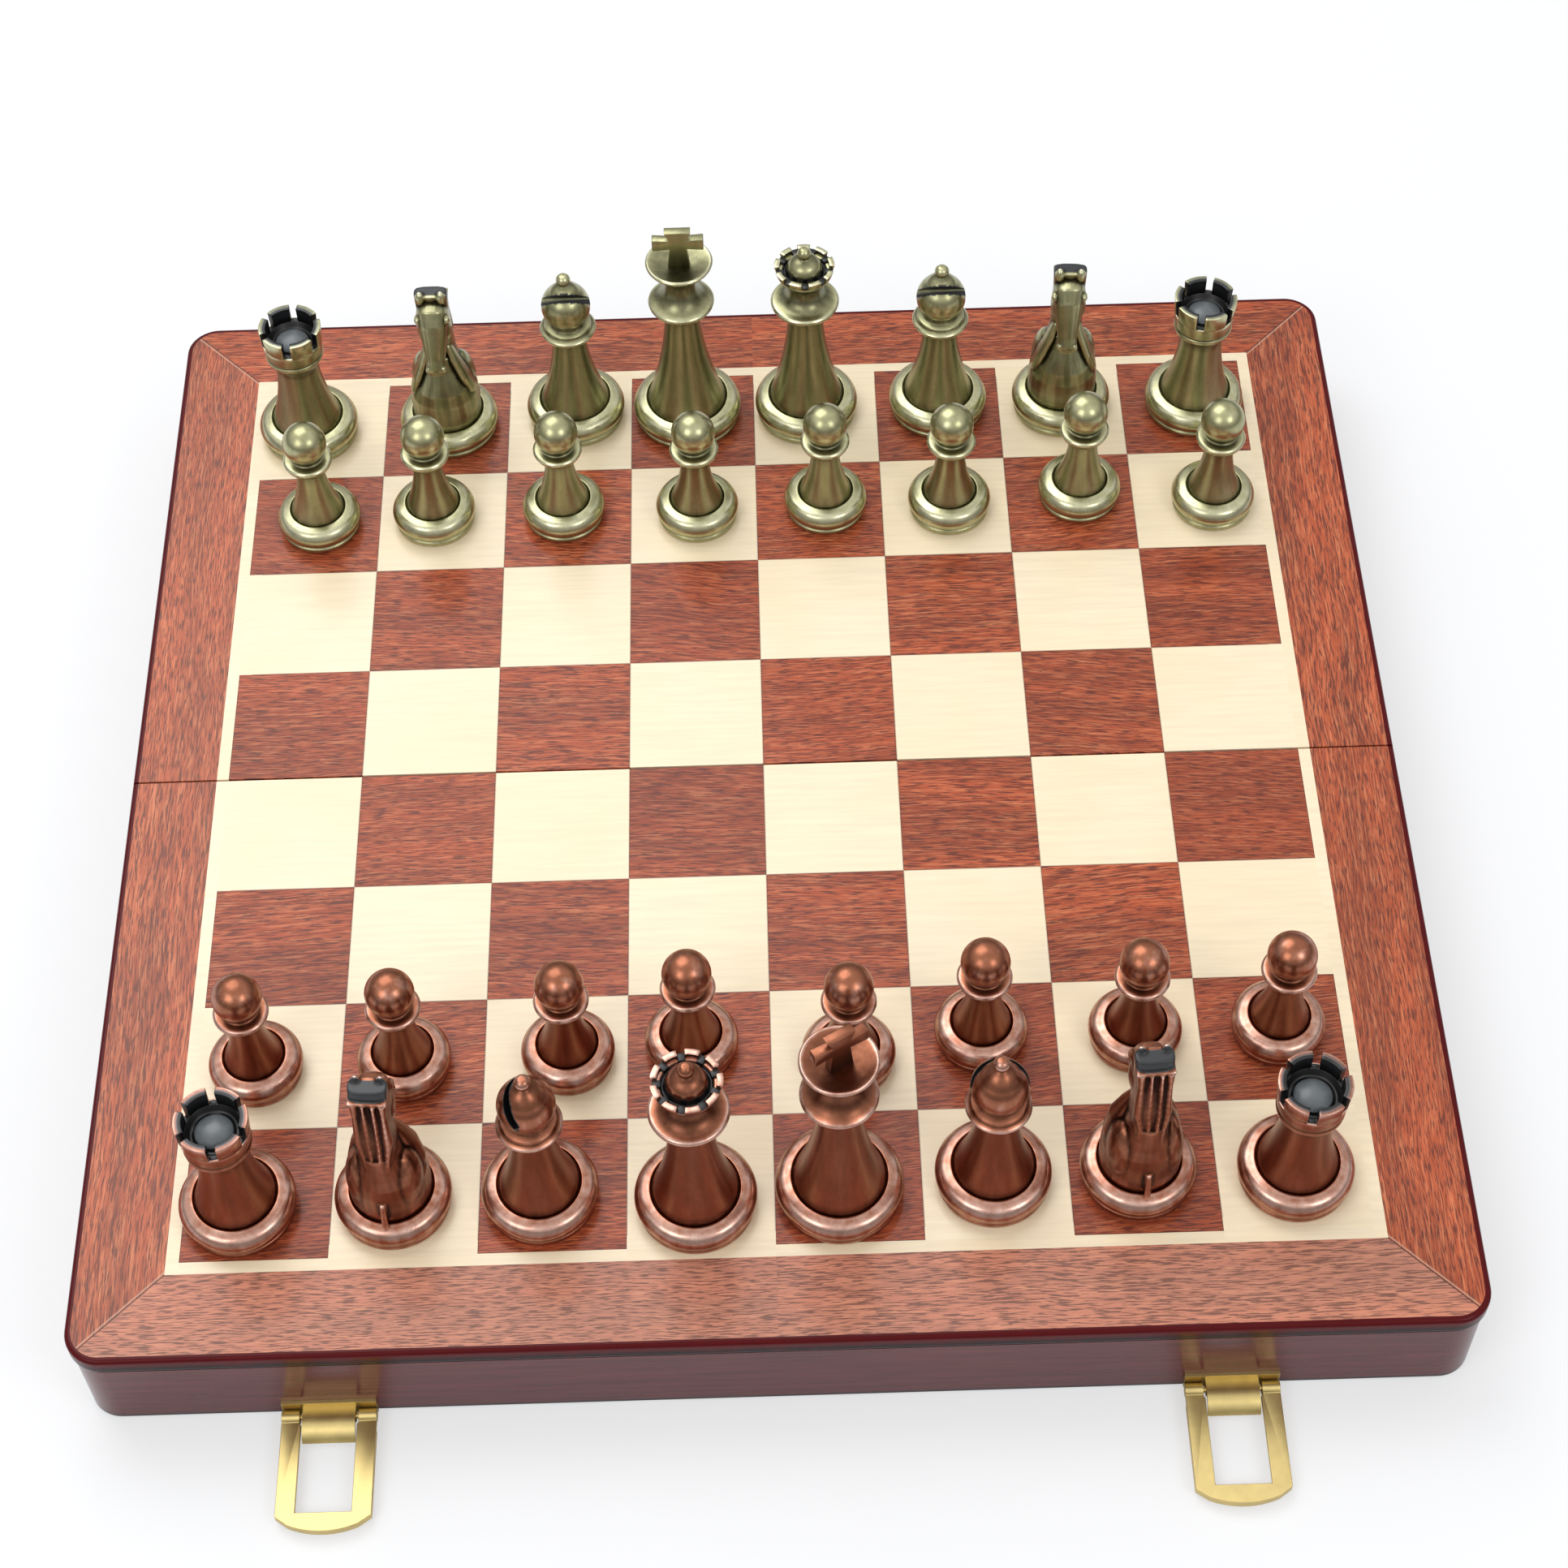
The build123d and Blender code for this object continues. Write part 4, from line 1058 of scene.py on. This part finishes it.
def knight_forms():
    """The closed forms that the knight's neck and head are melted from."""
    neck = tube_between([
        (0, 0, 7.6, 8.7, 8.7), (0, 0, 11.0, 8.8, 8.8), (0, -0.1, 15.0, 8.5, 8.8),
        (0, 0, 18.5, 7.5, 8.4), (0, 0.3, 21.5, 6.1, 7.4), (0, 0.8, 24.5, 4.8, 6.4),
        (0, 1.2, 28.0, 4.1, 5.4)], 0.95)
    crest = tube_between([
        (0, 1.6, 22.0, 3.9, 4.9), (0, 1.5, 28.0, 4.0, 4.5), (0, 1.2, 34.0, 3.9, 4.1),
        (0, 0.8, 40.0, 3.9, 3.4), (0, 0.1, 46.0, 4.1, 2.6), (0, -0.3, 48.3, 4.1, 2.0)], 0.6)
    head = tube_between([
        (0, 1.0, 43.0, 3.8, 4.4, -60), (0, -1.6, 41.8, 4.1, 5.2, -50),
        (0, -3.9, 39.0, 3.6, 4.7, -46), (0, -6.1, 35.4, 2.9, 3.5, -42),
        (0, -7.9, 32.0, 2.4, 2.7, -40), (0, -9.1, 29.8, 2.6, 2.4, -34),
        (0, -9.0, 28.3, 2.1, 1.6, -20)], 0.8)
    forms = [neck, crest, head]
    for place, width, proud in ((-3.0, 1.1, 0.2), (-1.2, 0.7, 0.5), (0.9, 0.8, 0.3),
                                (2.9, 1.2, 0.0)):
        strand = []
        for step in range(9):
            height = 11.0 + 4.35 * step
            drawn_in = 0.15 + 0.85 * min(1.0, step / 5)
            swell = 0.8 + 0.2 * math.sin(2.1 * step + place)
            strand.append((place * drawn_in, neck_back(height) - 1.2 + proud, height,
                           width * swell, 1.7))
        forms.append(tube_between(strand, 1.0, 14))
    for side in (-1, 1):
        cheek = pebble((side * 2.6, -1.7, 37.6), (1.8, 3.5, 3.9), 20)
        eye = pebble((side * 3.6, -4.1, 42.7), (0.9, 1.4, 1.1))
        nostril = pebble((side * 1.7, -10.1, 30.9), (0.95, 0.8, 1.0))
        ear = pebble((side * 2.6, -1.9, 47.7), (1.1, 1.0, 1.9), -15)
        flank = pebble((side * 4.4, 2.4, 16.0), (3.8, 5.0, 9.0), 6)
        side_strand = tube_between([
            (side * 2.6, -1.6, 31.5, 0.9, 1.4), (side * 3.9, -2.2, 27.0, 1.3, 2.2),
            (side * 5.6, -2.4, 22.0, 1.5, 2.8), (side * 6.9, -1.8, 17.0, 1.4, 2.6),
            (side * 7.6, -0.6, 12.5, 0.8, 1.6)], 1.0, 14)
        forms += [cheek, eye, nostril, ear, flank, side_strand]
    ledge = box_mesh("ledge", (-4.1, 1.2, 45.5), (4.1, 3.2, 46.3))
    block = box_mesh("block", (-3.4, -1.2, 46.0), (3.4, 1.4, 48.2))
    spur = tube_between([(0, 8.6, 14.5, 0.7, 0.9), (0, 9.2, 11.0, 0.75, 1.1),
                         (0, 10.0, 7.4, 0.7, 0.9), (0, 10.3, 6.5, 0.5, 0.6)])
    return forms + [ledge, block, spur]


def knight_mesh(metal):
    laid_up = object_from("knight", joined("knight", *knight_forms()))
    melt(laid_up, 0.28)
    mesh = settled_mesh(laid_up)
    store_hollows(mesh, knight_black)
    section = foot_section(OFFICER_FOOT).line(8.7, 8.6).line(8.2, 9.6).line(0.0, 9.8)
    return joined("knight", turned_man("knight_foot", section), mesh)


MAKERS = {
    "pawn": pawn_mesh,
    "rook": rook_mesh,
    "knight": knight_mesh,
    "bishop": bishop_mesh,
    "queen": queen_mesh,
    "king": king_mesh,
}


def place_man(name, template, metal):
    """A man of its own on its square, standing for its CAD node."""
    low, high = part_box(name)
    where = Matrix.Translation(((low.x + high.x) / 2, (low.y + high.y) / 2, low.z))
    turn = Matrix.Rotation(math.radians(TURNS.get(name, 0)), 4, "Z")
    mesh = template.copy()
    mesh.transform(where @ turn)
    made = object_from(name + "_cast", mesh, metal, 50)
    stand_for(made, name, name)


# Operators


class CHESS_OT_board(bpy.types.Operator):
    """Finish the panels, walls and veneers of both halves"""

    bl_idname = "chess_set.board"
    bl_label = "Board"

    def execute(self, context):
        pieces = {
            "lacquer": ["panel"],
            "wall": ["outer_wall", "side_walls", "seam_wall"],
            "rosewood_border": ["border_veneer"],
            "rosewood_squares": ["dark_squares"],
            "maple": ["maple_line", "light_squares"],
        }
        for half in HALVES:
            for finish, names in pieces.items():
                for name in names:
                    dress(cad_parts[half + "_" + name].data, finish)
        return {"FINISHED"}


class CHESS_OT_liner(bpy.types.Operator):
    """Make the foam liner of both halves"""

    bl_idname = "chess_set.liner"
    bl_label = "Foam liner"

    def execute(self, context):
        for half in HALVES:
            node = half + "_foam_liner"
            made = object_from(half + "_liner", merged_copy(node))
            melt(made, 1.4)
            settled(made)
            dress(made.data, "foam")
            smooth(made.data, 60)
            stand_for(made, node, half + "_half")
        return {"FINISHED"}


class CHESS_OT_fittings(bpy.types.Operator):
    """Make the hinges, latches and catches with eased edges, and finish their pins"""

    bl_idname = "chess_set.fittings"
    bl_label = "Hinges and latches"

    def execute(self, context):
        bodies = {
            "front_hinge_leaves": "front_half",
            "back_hinge_leaves": "back_half",
            "latch_bases": "front_half",
            "latch_catches": "back_half",
            "left_latch_loop": "left_latch_loop",
            "right_latch_loop": "right_latch_loop",
        }
        for node, body in bodies.items():
            made = eased(node, "gilt", context.scene.chess_fittings.edge_ease)
            stand_for(made, node, body)
        for node in ("hinge_pins", "latch_pins"):
            dress(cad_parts[node].data, "gilt")
        return {"FINISHED"}


class CHESS_OT_screws(bpy.types.Operator):
    """Finish the countersunk screws"""

    bl_idname = "chess_set.screws"
    bl_label = "Screws"

    def execute(self, context):
        for half in HALVES:
            dress(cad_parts[half + "_screws"].data, "gilt")
        return {"FINISHED"}


def men_operator(kind, label):
    """An operator that makes all the men of one kind."""

    def execute(self, context):
        names = ["pawn_" + str(index) for index in range(1, 9)] if kind == "pawn" else [
            man for man in OFFICERS if man.startswith(kind)]
        for metal in METALS:
            template = MAKERS[kind](metal)
            for man in names:
                place_man(metal + "_" + man, template, metal)
        return {"FINISHED"}

    return type("CHESS_OT_" + kind + "s", (bpy.types.Operator,), {
        "bl_idname": "chess_set." + kind + "s",
        "bl_label": label,
        "__doc__": "Make the " + label.lower() + " of both colours",
        "execute": execute,
    })


MEN_OPERATORS = [men_operator(kind, kind.title() + "s") for kind in MAKERS]


class CHESS_OT_stage(bpy.types.Operator):
    """Set the camera, the floor, the world and the lamps"""

    bl_idname = "chess_set.stage"
    bl_label = "Camera and stage"

    def execute(self, context):
        settings = context.scene.chess_stage
        make_camera(settings)
        make_floor(settings)
        make_world()
        make_lamps()
        context.scene.view_settings.view_transform = "Standard"
        return {"FINISHED"}


def make_camera(settings):
    """Camera at the photograph's view."""
    lens = bpy.data.cameras.new("view_camera")
    lens.lens = settings.lens
    lens.sensor_width = 36.0
    lens.sensor_fit = "HORIZONTAL"
    lens.clip_start = 0.01
    camera = object_from("view_camera", lens)
    camera.location = settings.camera_place
    camera.rotation_euler = settings.camera_turn
    bpy.context.scene.camera = camera


def make_floor(settings):
    """Pale floor that keeps the shadow, half glowing where the camera sees it."""
    half = 3.0
    glow_share = 0.5
    mesh = bpy.data.meshes.new("floor")
    corners = [(-half, -half), (half, -half), (half, half), (-half, half)]
    mesh.from_pydata([(x, y, settings.floor_height) for x, y in corners], [], [(0, 1, 2, 3)])
    finish = Finish("pale_floor")
    finish.done(base_color=srgb(250, 251, 253), roughness=0.7, specular_ior_level=0.2)
    seen = finish.node("ShaderNodeLightPath", "Is Camera Ray")
    both = finish.node("ShaderNodeMixShader", 0, {
        0: seen * glow_share,
        1: Signal(finish, finish.shader.outputs[0]),
        2: finish.node("ShaderNodeEmission", 0)})
    finish.feed(finish.tree.nodes["Material Output"].inputs["Surface"], both)
    mesh.materials.append(finish.material)
    object_from("floor", mesh)


def make_world():
    """White where the camera looks, a studio that dims to its horizon in gloss, soft light else."""
    world = bpy.data.worlds.new("pale_room")
    bpy.context.scene.world = world
    world.use_nodes = True
    world.node_tree.nodes.clear()
    net = Net(world.node_tree)
    white = (1, 1, 1, 1)

    def ray(kind):
        return net.node("ShaderNodeLightPath", "Is " + kind + " Ray")

    def light(colour, strength):
        return net.node("ShaderNodeBackground", 0, {"Color": colour, "Strength": strength})

    height = net.split(net.node("ShaderNodeTexCoord", "Generated"))[2]
    brightness = net.node("ShaderNodeMapRange", "Result", {
        "Value": height, "From Min": 0.0, "From Max": 0.75, "To Min": 0.22, "To Max": 1.0,
    }, interpolation_type="SMOOTHSTEP")
    unseen = net.node("ShaderNodeMixShader", 0, {
        0: ray("Glossy"), 1: light((0.97, 0.985, 1.0, 1), 0.62), 2: light(white, brightness)})
    clear = net.math("MAXIMUM", ray("Camera"), ray("Transmission"))
    both = net.node("ShaderNodeMixShader", 0, {0: clear, 1: unseen, 2: light(white, 1.0)})
    net.node("ShaderNodeOutputWorld", None, {0: both})


def make_lamps():
    """A wide lamp high at the back left, and two softer ones at the front."""
    lamps = {
        "back_softbox": ((-0.35, 0.55, 1.15), 0.9, 7.0),
        "front_left_lamp": ((-0.65, -0.75, 0.95), 0.6, 3.0),
        "front_right_lamp": ((0.7, -0.7, 0.9), 0.45, 2.2),
    }
    for name, (place, size, power) in lamps.items():
        light = bpy.data.lights.new(name, "AREA")
        light.shape = "SQUARE"
        light.size = size
        light.energy = power
        lamp = object_from(name, light)
        lamp.location = place
        aim = Vector((0, 0, 0.02)) - Vector(place)
        lamp.rotation_euler = aim.to_track_quat("-Z", "Y").to_euler()


class CHESS_PT_panel(bpy.types.Panel):
    """Buttons that build the pieces"""

    bl_label = "Folding Chess Set"
    bl_idname = "CHESS_PT_panel"
    bl_space_type = "VIEW_3D"
    bl_region_type = "UI"
    bl_category = "Chess Set"

    def draw(self, context):
        for maker in BUILDERS:
            self.layout.operator(maker.bl_idname)


BUILDERS = [CHESS_OT_stage, CHESS_OT_board, CHESS_OT_liner, CHESS_OT_fittings,
            CHESS_OT_screws] + MEN_OPERATORS
SETTINGS = {
    "chess_board": ChessBoardSettings,
    "chess_men": ChessMenSettings,
    "chess_fittings": ChessFittingSettings,
    "chess_stage": ChessStageSettings,
}


def register():
    for name, group in SETTINGS.items():
        bpy.utils.register_class(group)
        setattr(bpy.types.Scene, name, bpy.props.PointerProperty(type=group))
    for maker in BUILDERS + [CHESS_PT_panel]:
        bpy.utils.register_class(maker)


def unregister():
    for maker in BUILDERS + [CHESS_PT_panel]:
        bpy.utils.unregister_class(maker)
    for name, group in SETTINGS.items():
        delattr(bpy.types.Scene, name)
        bpy.utils.unregister_class(group)


def main():
    register()
    for maker in BUILDERS:
        area, name = maker.bl_idname.split(".")
        getattr(getattr(bpy.ops, area), name)()


if __name__ == "__main__":
    main()
